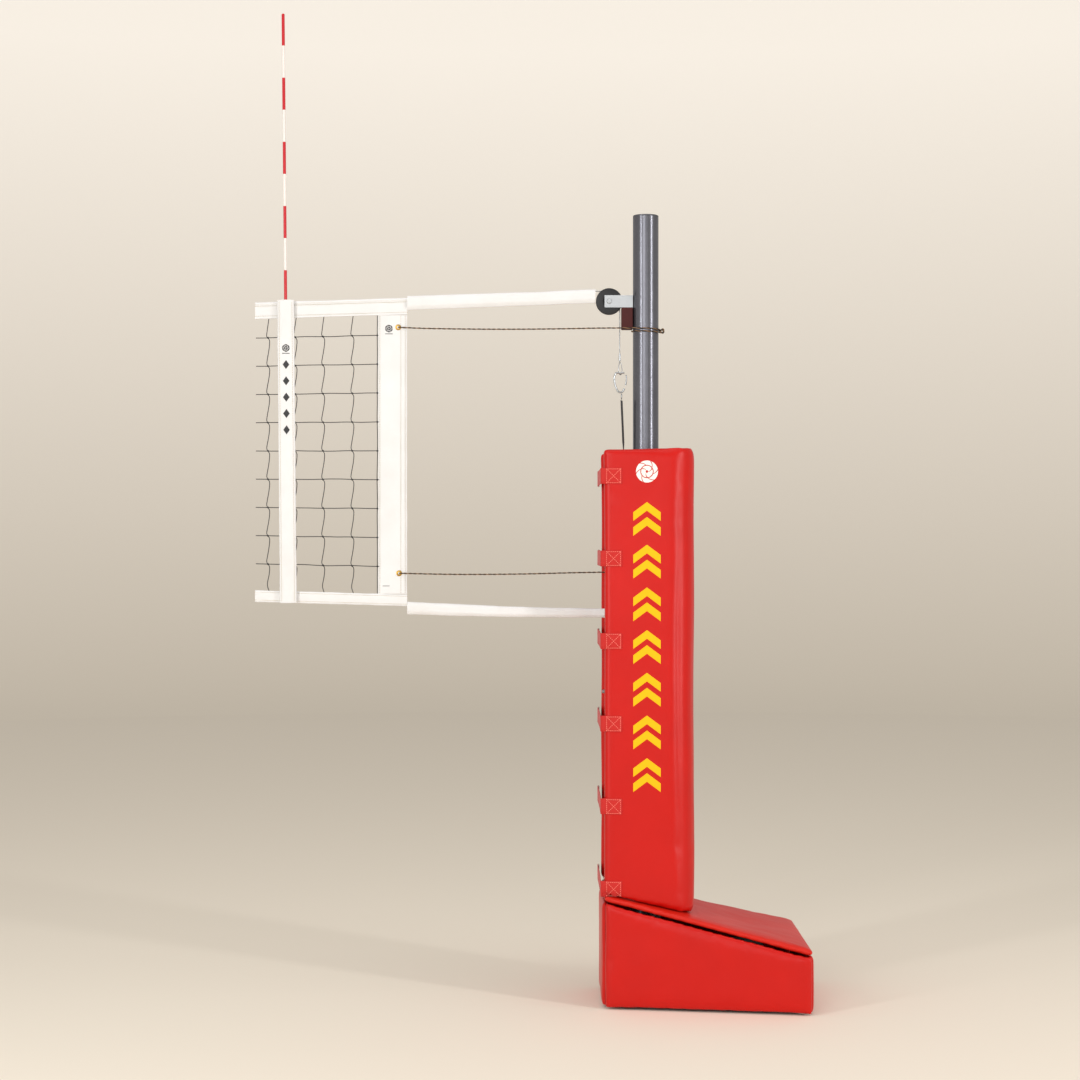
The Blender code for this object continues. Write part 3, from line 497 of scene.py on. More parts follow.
stitch_tree, into, out = node_tree("lockstitch", ("Pitch", "Float", 0.006), ("Stitch", "Float", 0.0046),
                                   ("Thread", "Float", 0.0016), ("Finish", "Material", None))
path = add_node(stitch_tree, "GeometryNodeMeshToCurve", {"Mesh": into.outputs["Geometry"]})
steps = add_node(stitch_tree, "GeometryNodeResampleCurve", {"Curve": path.outputs["Curve"],
                                                            "Length": into.outputs["Pitch"]}, mode="LENGTH")
along = add_node(stitch_tree, "GeometryNodeInputTangent")
turn = add_node(stitch_tree, "FunctionNodeAlignRotationToVector", {"Vector": along.outputs["Tangent"]},
                axis="Z")
bead = add_node(stitch_tree, "GeometryNodeMeshIcoSphere", {"Radius": 0.5, "Subdivisions": 2})
shape = add_node(stitch_tree, "ShaderNodeCombineXYZ",
                 {"X": into.outputs["Thread"], "Y": into.outputs["Thread"],
                                                       "Z": into.outputs["Stitch"]})
sewn = add_node(stitch_tree, "GeometryNodeInstanceOnPoints",
                {"Points": steps.outputs["Curve"], "Instance": bead.outputs["Mesh"],
                 "Rotation": turn.outputs["Rotation"], "Scale": shape.outputs["Vector"]})
real = add_node(stitch_tree, "GeometryNodeRealizeInstances", {"Geometry": sewn.outputs["Instances"]})
dressed = add_node(stitch_tree, "GeometryNodeSetMaterial", {"Geometry": real.outputs["Geometry"],
                                                            "Material": into.outputs["Finish"]})
stitch_tree.links.new(dressed.outputs["Geometry"], out.inputs["Geometry"])

red_thread, _, _ = new_finish("Bonded polyester thread, light red", "#FF9080", 0.55)
white_thread, _, _ = new_finish("Bonded polyester thread, cream", "#B5A888", 0.6)


def stitch(name, lines, body, slot, thread=red_thread, **values):
    sewing = grow(name, stitch_tree, line_mesh(name, lines), Finish=thread, **values)
    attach(sewing, body)
    return sewing


# --- Tab straps: six hook-and-loop closures ---------------------------------------------------------
# 50 mm webbing. One end is sewn to the front of the mat with a boxed cross; the rest folds round the
# corner, bridges the open side and grips a loop patch on the back half of the mat.


def webbing_finish(name, colour, shade, thread=0.0022):
    """Woven tape: fine ribs one thread wide, with the weave's light and dark."""
    material, tree, shader = new_finish(name, colour, 0.72, Sheen_Weight=0.15)
    where = add_node(tree, "ShaderNodeTexCoord").outputs["Object"]
    rib = add_node(tree, "ShaderNodeTexWave", {"Vector": where, "Scale": 0.314 / thread, "Distortion": 0.6},
                   bands_direction="Z")
    fleck = add_node(tree, "ShaderNodeTexNoise", {"Vector": where, "Scale": 600.0})
    mixed = add_node(tree, "ShaderNodeMath", {0: rib.outputs["Fac"], 1: fleck.outputs["Fac"]},
                     operation="MULTIPLY")
    tint = add_node(tree, "ShaderNodeMix",
                    {"Factor": mixed.outputs["Value"], 6: linear(shade), 7: linear(colour)},
                    data_type="RGBA")
    tree.links.new(tint.outputs[2], shader.inputs["Base Color"])
    bump = add_node(tree, "ShaderNodeBump",
                    {"Height": mixed.outputs["Value"], "Strength": 0.5, "Distance": 0.0006})
    tree.links.new(bump.outputs["Normal"], shader.inputs["Normal"])
    return material


def swept(name, frames, outline, *materials, inner=None, smooth=50):
    """Sweep a closed outline along (centre, u, v) frames; with inner, a tube with that channel."""
    count, verts, faces = len(outline), [], []
    rings = [outline, inner] if inner else [outline]
    stride = count * len(rings)
    for centre, u, v in frames:
        for ring in rings:
            verts += [centre + u * a + v * b for a, b in ring]
    for f in range(len(frames) - 1):
        here, there = f * stride, (f + 1) * stride
        for k in range(count):
            n = (k + 1) % count
            faces.append((here + k, here + n, there + n, there + k))
            if inner:
                faces.append((here + count + n, here + count + k, there + count + k, there + count + n))
    for base in (0, (len(frames) - 1) * stride):
        if inner:
            faces += [(base + k, base + (k + 1) % count, base + count + (k + 1) % count, base + count + k)
                      for k in range(count)]
        else:
            faces.append(tuple(range(base, base + count)))
    piece = new_piece(name, verts, faces, *materials, smooth=smooth)
    turn_faces_out(piece)
    piece.data.set_sharp_from_angle(angle=math.radians(smooth))
    return piece


def flat_section(half_wide, half_thick, across=4):
    """Section of a flat strap with softened edges, as (thickness, width) points."""
    top = [(half_thick, half_wide * (0.96 - 1.92 * k / across)) for k in range(across + 1)]
    return top + [(0.0, -half_wide)] + [(-a, b) for a, b in reversed(top)] + [(0.0, half_wide)]


def upright_ribbon(name, points, half_wide, half_thick, *materials):
    """Strap that stands on edge: its width is upright and it follows points in plan."""
    frames = []
    for k, point in enumerate(points):
        along = (points[min(k + 1, len(points) - 1)] - points[max(k - 1, 0)]).normalized()
        frames.append((point, Vector((along.y, -along.x, 0)).normalized(), Vector((0, 0, 1))))
    return swept(name, frames, flat_section(half_wide, half_thick), *materials)


red_webbing = webbing_finish("Nylon webbing, red", "#D81A10", "#C0140C")
loop_cloth = webbing_finish("Loop tape, dark red", "#9E1517", "#6F0D10", 0.003)
tab_high, patch_end, box_low, box_high = 0.050, -0.083, -0.131, -0.088
for number in range(1, 7):
    node = "tab_strap_%d" % number
    low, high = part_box(node)
    z = (low.z + high.z) / 2
    turn_x = low.x + 0.0010
    front = [on_front(column_skin, patch_end - 0.006 * k, z, 0.0013) for k in range(9)]
    edge_y = front[-1].y
    corner = [Vector((turn_x + 0.0042, edge_y + 0.0004, z)), Vector((turn_x + 0.0012, edge_y + 0.0026, z)),
              Vector((turn_x, edge_y + 0.0070, z))]
    reach = high.y - corner[-1].y - 0.001
    bridge = [corner[-1] + Vector((0.0012 * math.sin(math.pi * k / 14), reach * k / 14, 0))
              for k in range(1, 15)]
    tab = upright_ribbon("tab_%d" % number, front + corner + bridge, tab_high / 2, 0.0010, red_webbing)
    for vert in tab.data.vertices:
        if vert.co.x > turn_x + 0.006 and vert.co.y < 0:
            vert.co.y += on_front(column_skin, vert.co.x, vert.co.z).y - on_front(column_skin, vert.co.x, z).y
    push(tab, lambda p, n: 0.0004 * ripple(p, 0.03, number))
    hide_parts(node)
    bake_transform(tab)
    boxed = [(box_low, -0.0215), (box_high, -0.0215), (box_high, 0.0215), (box_low, 0.0215),
             (box_low, -0.0215)]
    cross = [[(box_low, -0.0215), (box_high, 0.0215)], [(box_low, 0.0215), (box_high, -0.0215)]]
    lines = []
    for run in [boxed] + cross:
        line = []
        for (ax, az), (bx, bz) in zip(run, run[1:]):
            line += [on_front(column_skin, ax + (bx - ax) * k / 8, z + az + (bz - az) * k / 8, 0.0025)
                     for k in range(8)]
        lines.append(line + [on_front(column_skin, run[-1][0], z + run[-1][1], 0.0025)])
    stitch("tab_%d_stitches" % number, lines, "base", "red_webbing")
    patch_y = half - foam + 0.004
    patch = upright_ribbon("loop_patch_%d" % number,
                           [Vector((turn_x + 0.0034, patch_y + 0.034 * k / 4, z)) for k in range(5)],
                           tab_high / 2 + 0.002, 0.0009, loop_cloth)
    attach(patch, "base")

# --- Post: mast in a fixed tube, with clamp collar and tie rings ------------------------------------
# An aluminium mast slides in a steel tube that stands in the base, and a hand knob clamps it. Both have
# a charcoal hammertone powder coat: fine orange peel, and upright streaks where tall lamps mirror in it.


def face_outward(piece, smooth=40):
    """Turn the faces of a closed piece outward and mark its sharp edges."""
    turn_faces_out(piece)
    piece.data.set_sharp_from_angle(angle=math.radians(smooth))
    return piece


def turned(name, profile, origin, axis, material, sides=72, closed=False):
    """Turned piece: (radius, height) points round an axis; closed joins the last point to the first."""
    origin, axis = Vector(origin), Vector(axis).normalized()
    side = axis.orthogonal().normalized()
    other = axis.cross(side)
    verts, rings, faces = [], [], []
    for radius, height in profile:
        steps = 1 if radius == 0 else sides
        rings.append(list(range(len(verts), len(verts) + steps)))
        for k in range(steps):
            a = math.tau * k / sides
            verts.append(origin + axis * height + (side * math.cos(a) + other * math.sin(a)) * radius)
    for low, high in zip(rings, rings[1:] + (rings[:1] if closed else [])):
        for k in range(sides):
            ring = [low[k % len(low)], low[(k + 1) % len(low)], high[(k + 1) % len(high)],
                    high[k % len(high)]]
            faces.append(tuple(dict.fromkeys(ring)))
    return face_outward(new_piece(name, verts, faces, material))


def settle(piece, body, slot, *nodes):
    """The piece rides a body and stands for its CAD nodes; its slot is not used."""
    if nodes:
        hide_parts(*nodes)
    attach(piece, body)
    return piece


def metal_finish(name, colour, shade, roughness, metallic=1.0, grain=260.0, bump=0.15):
    """Metal or coated metal: cloudy colour, patchy gloss and a fine skin of bumps."""
    material, tree, shader = new_finish(name, colour, roughness, metallic)
    where = add_node(tree, "ShaderNodeTexCoord").outputs["Object"]
    cloud = add_node(tree, "ShaderNodeTexNoise", {"Vector": where, "Scale": 22.0, "Detail": 5.0})
    tint = add_node(tree, "ShaderNodeMix",
                    {"Factor": cloud.outputs["Fac"], 6: linear(shade), 7: linear(colour)},
                    data_type="RGBA")
    tree.links.new(tint.outputs[2], shader.inputs["Base Color"])
    gloss = add_node(tree, "ShaderNodeMapRange", {"Value": cloud.outputs["Fac"], "To Min": roughness - 0.02,
                                                  "To Max": roughness + 0.03})
    tree.links.new(gloss.outputs["Result"], shader.inputs["Roughness"])
    skin = add_node(tree, "ShaderNodeTexNoise", {"Vector": where, "Scale": grain, "Detail": 1.5})
    peel = add_node(tree, "ShaderNodeBump",
                    {"Height": skin.outputs["Fac"], "Strength": bump, "Distance": 0.0008})
    tree.links.new(peel.outputs["Normal"], shader.inputs["Normal"])
    return material


post_coat = metal_finish("Hammertone powder coat, charcoal", "#74747B", "#64646B", 0.24, 0.75, 330.0, 0.12)
zinc = metal_finish("Zinc-plated steel", "#C9CBCC", "#A9ACAF", 0.30)
black_steel = metal_finish("Black enamelled steel", "#232326", "#19191B", 0.42, 0.0)
black_nylon = metal_finish("Black nylon", "#1D1E20", "#141416", 0.48, 0.0)
maroon = metal_finish("Moulded block, maroon", "#4A0804", "#3A0503", 0.75, 0.0)
rubber = metal_finish("Black rubber", "#1C1C1D", "#121213", 0.75, 0.0)

mast_low, mast_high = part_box("mast_tube")
mast_r, mast_wall = mast_high.x, 0.003
mast_profile = [(mast_r, mast_low.z), (mast_r, mast_high.z), (mast_r - mast_wall, mast_high.z),
                (mast_r - mast_wall, mast_low.z)]
settle(turned("mast", mast_profile, (0, 0, 0), (0, 0, 1), post_coat, 128, closed=True), "mast", "post_coat",
       "mast_tube")
cap_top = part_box("mast_cap")[1].z
cap_profile = [(0, mast_high.z - 0.028), (mast_r - mast_wall - 0.0004, mast_high.z - 0.028),
               (mast_r - mast_wall - 0.0004, mast_high.z + 0.0003), (mast_r, mast_high.z + 0.0003),
               (mast_r, cap_top - 0.003), (mast_r - 0.0009, cap_top - 0.0009), (mast_r - 0.003, cap_top),
               (0, cap_top)]
settle(turned("mast_end_cap", cap_profile, (0, 0, 0), (0, 0, 1), post_coat, 128), "mast", "post_coat",
       "mast_cap")
tube_low, tube_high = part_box("outer_post")
tube_r, clear_r = tube_high.x, mast_r + 0.0008
tube_profile = [(tube_r, tube_low.z), (tube_r, tube_high.z - 0.001), (tube_r - 0.001, tube_high.z),
                (clear_r, tube_high.z), (clear_r, tube_low.z)]
settle(turned("fixed_tube", tube_profile, (0, 0, 0), (0, 0, 1), post_coat, 128, closed=True), "base",
       "post_coat",
       "outer_post")
collar_low, collar_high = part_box("clamp_collar")
collar_r = collar_high.x
collar_profile = [(collar_r - 0.003, collar_low.z), (collar_r, collar_low.z + 0.003),
                  (collar_r, collar_high.z - 0.003),
                  (collar_r - 0.003, collar_high.z), (clear_r, collar_high.z), (clear_r, collar_low.z)]
settle(turned("clamp_ring", collar_profile, (0, 0, 0), (0, 0, 1), black_steel, 96, closed=True), "base",
       "black_steel",
       "clamp_collar")
knob_low, knob_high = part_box("lock_knob")
knob_profile = [(0, 0), (0.008, 0), (0.008, 0.020), (0.012, 0.022), (0.024, 0.026), (0.026, 0.032),
                (0.026, 0.046),
                (0.023, 0.050), (0.010, 0.050), (0.009, 0.048), (0, 0.048)]
knob = turned("hand_knob", knob_profile, (0, knob_high.y, (knob_low.z + knob_high.z) / 2), (0, -1, 0),
              rubber, 80)
push(knob, lambda p, n: -0.0018 * max(0.0, math.sin(8 * math.atan2(p.z - 1.714, p.x))) if abs(n.y) < 0.5
     and p.y < knob_high.y - 0.030 else 0.0)
settle(knob, "knob", "rubber", "lock_knob")

# --- Rolling gear, base frame and winch: plain steel under the pads --------------------------------
# Welded and bolted parts that the padding hides from the front; they keep the CAD's own shapes, and the
# wheels are turned again with a rounded rubber tread.
for side in ("front", "back"):
    low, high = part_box("wheel_" + side)
    middle, wheel_r, half_wide = (low + high) / 2, (high.z - low.z) / 2, (high.y - low.y) / 2
    bore = 0.0066
    tread = [(bore, -half_wide), (0.018, -half_wide), (0.020, 0.004 - half_wide),
             (wheel_r - 0.012, 0.004 - half_wide),
             (wheel_r - 0.010, -half_wide), (wheel_r - 0.004, -half_wide)]
    tread += [(wheel_r - 0.004 + 0.004 * math.cos(a), -half_wide * 0.72 + 0.28 * half_wide * math.sin(a))
              for a in (math.radians(-60), math.radians(-30), 0)]
    profile = tread + [(radius, -height) for radius, height in reversed(tread)]
    wheel = turned("tyre_" + side, profile, middle, (0, 1, 0), rubber, 72, closed=True)
    settle(wheel, "wheel_" + side, "rubber", "wheel_" + side)
finish_of = {zinc: ("pulley_bracket", "winch_frame", "wheel_axle", "worm_shaft", "worm_wheel",
                    "tie_ring_upper",
                    "tie_ring_lower"),
             black_steel: ("base_plate", "ballast", "post_socket", "gusset_front", "gusset_back",
                           "axle_bracket_front",
                           "axle_bracket_back", "winch_drum"),
             rubber: ("foot_centre", "foot_net", "foot_outer")}
for material, nodes in finish_of.items():
    for node in nodes:
        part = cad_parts[node]
        part.data.materials.clear()
        part.data.materials.append(material)

# --- Pulley: black nylon sheave in a zinc bracket with a bolt and a maroon rope block ---------------
# The head cable runs over the sheave and down to the snap hook. The block under it keeps the rope off
# the sheave; both are screwed to the mast.
axle = (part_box("pulley_wheel")[0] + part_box("pulley_wheel")[1]) / 2
sheave_r, groove_r, rim = 0.0425, 0.0318, 0.0090
groove = [(groove_r + 0.0022 * (1 - math.cos(math.radians(a))) * 2.2, 0.0030 * math.sin(math.radians(a)))
          for a in range(-80, 81, 20)]
sheave = [(sheave_r, 0.0015 - rim), (sheave_r - 0.0005, 0.0005 - rim), (sheave_r - 0.0015, -rim),
          (0.020, -rim),
          (0.018, 0.002 - rim), (0.0125, 0.002 - rim), (0.0115, -rim - 0.0005), (0.0056, -rim - 0.0005),
          (0.0056, rim + 0.0005), (0.0115, rim + 0.0005), (0.0125, rim - 0.002), (0.018, rim - 0.002),
          (0.020, rim),
          (sheave_r - 0.0015, rim), (sheave_r - 0.0005, rim - 0.0005), (sheave_r, rim - 0.0015),
          (sheave_r, 0.0058)]
sheave += groove[::-1] + [(sheave_r, -0.0058)]
settle(turned("sheave", sheave, axle, (0, 1, 0), black_nylon, 96, closed=True), "pulley", "black_nylon",
       "pulley_wheel")
bolt_r, bolt_head_r, bolt_reach = 0.0050, 0.0080, 0.0148
head_face, nut_face, bolt_tip = -bolt_reach - 0.0055, bolt_reach + 0.006, bolt_reach + 0.009
bolt_profile = [(0, head_face), (0.0066, head_face), (bolt_head_r, -bolt_reach - 0.0042),
                (bolt_head_r, -bolt_reach), (bolt_r, -bolt_reach), (bolt_r, bolt_reach),
                (bolt_head_r, bolt_reach),
                (bolt_head_r, nut_face), (bolt_r, nut_face), (bolt_r, bolt_tip), (0, bolt_tip)]
settle(turned("bolt", bolt_profile, axle, (0, 1, 0), zinc, 60), "mast", "zinc", "pulley_bolt")
block_low, block_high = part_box("rope_block")
corners = [(block_low.x, block_low.y), (block_high.x, block_low.y), (block_high.x, block_high.y),
           (block_low.x, block_high.y)]
block_faces = [(3, 2, 1, 0), (4, 5, 6, 7)] + [(k, (k + 1) % 4, 4 + (k + 1) % 4, 4 + k) for k in range(4)]
block_piece = new_piece("rope_guide", [(x, y, z) for z in (block_low.z, block_high.z) for x, y in corners],
                        block_faces, maroon)
softened = block_piece.modifiers.new("soft_edge", "BEVEL")
softened.width, softened.segments = 0.003, 4
bake_modifiers(block_piece)
settle(block_piece, "mast", "maroon", "rope_block")

# --- Wire rope, snap hook and its link ---------------------------------------------------------------
# 3.6 mm galvanised wire rope, six strands twisted round each other, ending in a pressed crimp and a
# loop. A forged pear-shaped snap hook with a sprung gate hangs in it and takes the tension strap.


def smooth_line(points, step):
    """Even points along a smooth curve through the given ones."""
    points = [Vector(p) for p in points]
    dense = []
    for k in range(len(points) - 1):
        a, b, c, d = points[max(k - 1, 0)], points[k], points[k + 1], points[min(k + 2, len(points) - 1)]
        for i in range(24):
            t = i / 24
            dense.append(0.5 * ((2 * b) + (c - a) * t + (2 * a - 5 * b + 4 * c - d) * t * t
                                + (3 * b - a - 3 * c + d) * t ** 3))
    dense.append(points[-1])
    reach = [0.0]
    for a, b in zip(dense, dense[1:]):
        reach.append(reach[-1] + (b - a).length)
    count = max(2, round(reach[-1] / step))
    line, k = [], 0
    for i in range(count + 1):
        target = reach[-1] * i / count
        while k < len(reach) - 2 and reach[k + 1] < target:
            k += 1
        line.append(dense[k].lerp(dense[k + 1], (target - reach[k]) / max(reach[k + 1] - reach[k], 1e-9)))
    return line


def length_of(line):
    return sum((b - a).length for a, b in zip(line, line[1:]))


def carry(line):
    """Frames (point, u, v) carried along a line without twist."""
    frames, u = [], None
    for k, point in enumerate(line):
        along = (line[min(k + 1, len(line) - 1)] - line[max(k - 1, 0)]).normalized()
        u = along.orthogonal().normalized() if u is None else (u - along * u.dot(along)).normalized()
        frames.append((point, u, along.cross(u)))
    return frames


def tubes(name, lines, radius, *materials, sides=8, loop=False):
    """Round wires along lines; line k takes material k in turn; loop joins each one's ends."""
    verts, faces, slots = [], [], []
    for number, line in enumerate(lines):
        first = len(verts)
        for point, u, v in carry(line):
            turns = [math.tau * k / sides for k in range(sides)]
            verts += [point + (u * math.cos(a) + v * math.sin(a)) * radius for a in turns]
        rows = len(line)
        for r in range(rows if loop else rows - 1):
            a, b = first + r * sides, first + (r + 1) % rows * sides
            faces += [(a + k, a + (k + 1) % sides, b + (k + 1) % sides, b + k) for k in range(sides)]
        if not loop:
            faces += [tuple(first + k for k in range(sides)),
                      tuple(first + (rows - 1) * sides + k for k in range(sides))]
        slots += [number % len(materials)] * (len(faces) - len(slots))
    piece = new_piece(name, verts, faces, *materials)
    piece.data.polygons.foreach_set("material_index", slots)
    return face_outward(piece, 60)


def twisted(name, line, strands, strand_r, lay_r, pitch, *materials, sides=7):
    """Rope: strands wound round a line, pitch metres to the turn."""
    frames, step = carry(line), length_of(line) / (len(line) - 1)
    lines = []
    for s in range(strands):
        turns = [math.tau * (s / strands + k * step / pitch) for k in range(len(frames))]
        lines.append([p + (u * math.cos(a) + v * math.sin(a)) * lay_r for (p, u, v), a in zip(frames, turns)])
    return tubes(name, lines, strand_r, *materials, sides=sides)


def lean(x, z):
    """The net hangs with its cut end a little low; its tilt changes evenly from the foot to the head."""
    return z + (-0.0287 + 0.0594 * ((z - net_bottom) / (net_top - net_bottom))) * (x - net_end)


net_end, net_cut, net_top, net_bottom = -0.7675, -1.256, 2.251, 1.259
cable_r, run_r, drop_x, hook_x = 0.0018, 0.0342, -0.0835, -0.0815
head_route = [(x, 0, lean(x, 2.2464)) for x in (-1.250, -1.10, -0.95, net_end)]
head_route += [(-0.700, 0, 2.2515), (-0.440, 0, 2.2622), (-0.200, 0, 2.2710)]
head_route += [tuple(axle + Vector((run_r * math.cos(a), 0, run_r * math.sin(a))))
               for a in (math.radians(91.5 - 7.4 * k) for k in range(13))]
head_line = smooth_line(head_route, 0.0030)
head_cable = twisted("head_wire_rope", head_line, 6, 0.00062, 0.00116, 0.026, zinc, sides=6)
settle(head_cable, "mast", "zinc", "top_cable")
drop_line = smooth_line([(drop_x, 0, 2.2382), (drop_x, 0, 2.15), (drop_x, 0, 2.0706)], 0.0030)
drop = twisted("drop_wire_rope", drop_line, 6, 0.00062, 0.00116, 0.026, zinc, sides=6)
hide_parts("cable_drop")
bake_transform(drop)
crimp_profile = [(0, 0), (0.0034, 0), (0.0036, 0.001)]
crimp_profile += [(0.0036 - 0.0004 * (k % 2), 0.002 + 0.002 * k) for k in range(10)]
crimp_profile += [(0.0034, 0.022), (0, 0.022)]
crimp_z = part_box("cable_crimp")[0].z
settle(turned("pressed_crimp", crimp_profile, (drop_x, 0, crimp_z), (0, 0, 1), zinc, 48), "hook", "zinc",
       "cable_crimp")
loop_top, bar_z = crimp_z - 0.0005, 2.0100
eye = [(drop_x, 0, loop_top), (hook_x - 0.005, -0.006, 2.030), (hook_x - 0.005, -0.0070, bar_z + 0.001),
       (hook_x, 0, bar_z - 0.0065), (hook_x + 0.005, 0.0070, bar_z + 0.001), (hook_x + 0.005, 0.006, 2.030),
       (drop_x + 0.0022, 0.0026, loop_top - 0.0025)]
settle(tubes("wire_eye", [smooth_line(eye, 0.0012)], 0.0014, zinc, sides=12), "hook", "zinc", "cable_loop")
pear = []
for k in range(28):
    a = math.tau * k / 28
    wide = (0.0186 + 0.0052 * math.sin(a)) * math.copysign(abs(math.cos(a)) ** 0.7, math.cos(a))
    dip = 0.0040 * max(0.0, 1 - (math.cos(a) / 0.40) ** 2) if math.sin(a) > 0 else 0.0
    pear.append(Vector((hook_x + wide, 0, 1.9800 + 0.0330 * math.sin(a) - dip)))
settle(tubes("pear_hook", [smooth_line(pear[5:26], 0.0012)], 0.0030, zinc, sides=16), "hook", "zinc",
       "snap_hook")
gate_line = [pear[26].lerp(pear[27], 0.55), pear[27], pear[0], pear[1], pear[2], pear[3],
             pear[4].lerp(pear[3], 0.55)]
settle(tubes("sprung_gate", [smooth_line(gate_line, 0.0012)], 0.0022, zinc, sides=14), "gate", "zinc",
       "hook_gate")
link_line = [Vector((hook_x + 0.0038, 0.0145 * math.cos(a), 1.9330 + 0.0085 * math.sin(a)))
             for a in (math.tau * k / 48 for k in range(48))]
settle(tubes("strap_ring", [link_line], 0.0016, zinc, sides=12, loop=True), "hook", "zinc", "strap_link")

# --- Tension strap: black webbing from the winch drum up to the link --------------------------------
# 25 mm polypropylene webbing; it leaves the drum, runs up beside the tube and narrows into the link.
black_webbing = webbing_finish("Polypropylene webbing, black", "#242327", "#121214", 0.0018)
strap_thick = 0.0016
for name, node, (body_a, body_b) in (("lower_strap", "strap_lower", ("base", "mast")),
                                     ("upper_strap", "strap_upper", ("mast", "hook"))):
    low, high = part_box(node)
    if node == "strap_lower":
        x = (low.x + high.x) / 2
        line = smooth_line([(x, 0, low.z), (x, 0, (low.z + high.z) / 2), (x, 0, high.z)], 0.012)
    else:
        line = smooth_line([(-0.0714, 0, low.z), (-0.0721, 0, 1.790), (-0.0777, 0, high.z - 0.0002)], 0.008)
    frames = []
    for k, point in enumerate(line):
        along = (line[min(k + 1, len(line) - 1)] - line[max(k - 1, 0)]).normalized()
        twist = math.radians(15) * min(1.0, k / 5) if node == "strap_upper" else 0.0
        wide_way = Vector((math.sin(twist), math.cos(twist), 0))
        frames.append((point, wide_way.cross(along), wide_way))
    half_wide = (high.y - low.y) / 2
    strap = swept(name, frames, flat_section(half_wide, strap_thick / 2), black_webbing)
    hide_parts(node)
    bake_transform(strap)

# --- Net cords: knotted polyethylene mesh ------------------------------------------------------------
# Black twine, 2.6 mm, in a mesh of about 95 mm. The rows run straight; the upright cords step sideways at
# each small knot and drift back below it, and one more cord runs down the edge of the side band.
cord_tree, into, out = node_tree("twine", ("Radius", "Float", 0.0015), ("Wander", "Float", 0.0014),
                                 ("Finish", "Material", None))
course = add_node(cord_tree, "GeometryNodeMeshToCurve", {"Mesh": into.outputs["Geometry"]})
fine = add_node(cord_tree, "GeometryNodeResampleCurve", {"Curve": course.outputs["Curve"], "Length": 0.006},
                mode="LENGTH")
spot = add_node(cord_tree, "GeometryNodeInputPosition")
drift = add_node(cord_tree, "ShaderNodeTexNoise",
                 {"Vector": spot.outputs["Position"], "Scale": 13.0, "Detail": 1.0})
middle = add_node(cord_tree, "ShaderNodeVectorMath", {0: drift.outputs["Color"], 1: (0.5, 0.5, 0.5)},
                  operation="SUBTRACT")
shift = add_node(cord_tree, "ShaderNodeVectorMath",
                 {0: middle.outputs["Vector"], "Scale": into.outputs["Wander"]},
                 operation="SCALE")
moved = add_node(cord_tree, "GeometryNodeSetPosition",
                 {"Geometry": fine.outputs["Curve"], "Offset": shift.outputs["Vector"]})
ring = add_node(cord_tree, "GeometryNodeCurvePrimitiveCircle",
                {"Resolution": 8, "Radius": into.outputs["Radius"]})
skinned = add_node(cord_tree, "GeometryNodeCurveToMesh", {"Curve": moved.outputs["Geometry"],
                                                          "Profile Curve": ring.outputs["Curve"],
                                                          "Fill Caps": True})
real = add_node(cord_tree, "GeometryNodeRealizeInstances", {"Geometry": skinned.outputs["Mesh"]})
dressed = add_node(cord_tree, "GeometryNodeSetMaterial", {"Geometry": real.outputs["Geometry"],
                                                          "Material": into.outputs["Finish"]})
cord_tree.links.new(dressed.outputs["Geometry"], out.inputs["Geometry"])

knot_tree, into, out = node_tree("knots", ("Size", "Float", 0.0036), ("Finish", "Material", None),
                                 ("Seed", "Int", 3))
ball = add_node(knot_tree, "GeometryNodeMeshIcoSphere", {"Radius": 1.0, "Subdivisions": 3})
lump = add_node(knot_tree, "ShaderNodeTexNoise", {"Scale": 1.7, "Detail": 1.0})
facing = add_node(knot_tree, "GeometryNodeInputNormal")
swell = add_node(knot_tree, "ShaderNodeVectorMath",
                 {0: facing.outputs["Normal"], "Scale": lump.outputs["Fac"]},
                 operation="SCALE")
knobbly = add_node(knot_tree, "GeometryNodeSetPosition",
                   {"Geometry": ball.outputs["Mesh"], "Offset": swell.outputs["Vector"]})
spin = add_node(knot_tree, "FunctionNodeRandomValue",
                {"Seed": into.outputs["Seed"], "Min": (0, 0, 0), "Max": (6.28, 6.28, 6.28)},
                data_type="FLOAT_VECTOR")
size = add_node(knot_tree, "ShaderNodeCombineXYZ",
                {"X": into.outputs["Size"], "Y": into.outputs["Size"], "Z": into.outputs["Size"]})
tied = add_node(knot_tree, "GeometryNodeInstanceOnPoints",
                {"Points": into.outputs["Geometry"], "Instance": knobbly.outputs["Geometry"],
                 "Rotation": spin.outputs["Value"], "Scale": size.outputs["Vector"]})
real = add_node(knot_tree, "GeometryNodeRealizeInstances", {"Geometry": tied.outputs["Instances"]})
dressed = add_node(knot_tree, "GeometryNodeSetMaterial", {"Geometry": real.outputs["Geometry"],
                                                          "Material": into.outputs["Finish"]})
knot_tree.links.new(dressed.outputs["Geometry"], out.inputs["Geometry"])

twine = metal_finish("Polyethylene twine, black", "#2B2A2C", "#1B1A1C", 0.62, 0.0, 900.0, 0.4)
side_wide, head_high, foot_high = 0.0935, 0.054, 0.038
columns, rows = (-1.215, -1.127, -1.038, -0.944), [1.385 + 0.0935 * k for k in range(9)]
side_edge = net_end - side_wide
mesh_low, mesh_high = net_bottom + foot_high - 0.002, net_top - head_high + 0.002


def wander(a, b, seed):
    """A cord's course from a to b: slack S curves between knots."""
    count = max(4, round((b - a).length / 0.012))
    return [a.lerp(b, k / count) + Vector((0.0018 * ripple(a.lerp(b, k / count), 0.07, seed), 0,
                                           0.0022 * ripple(a.lerp(b, k / count), 0.08, seed + 5))) *
            min(1.0, 4 * min(k, count - k) / count) for k in range(count + 1)]


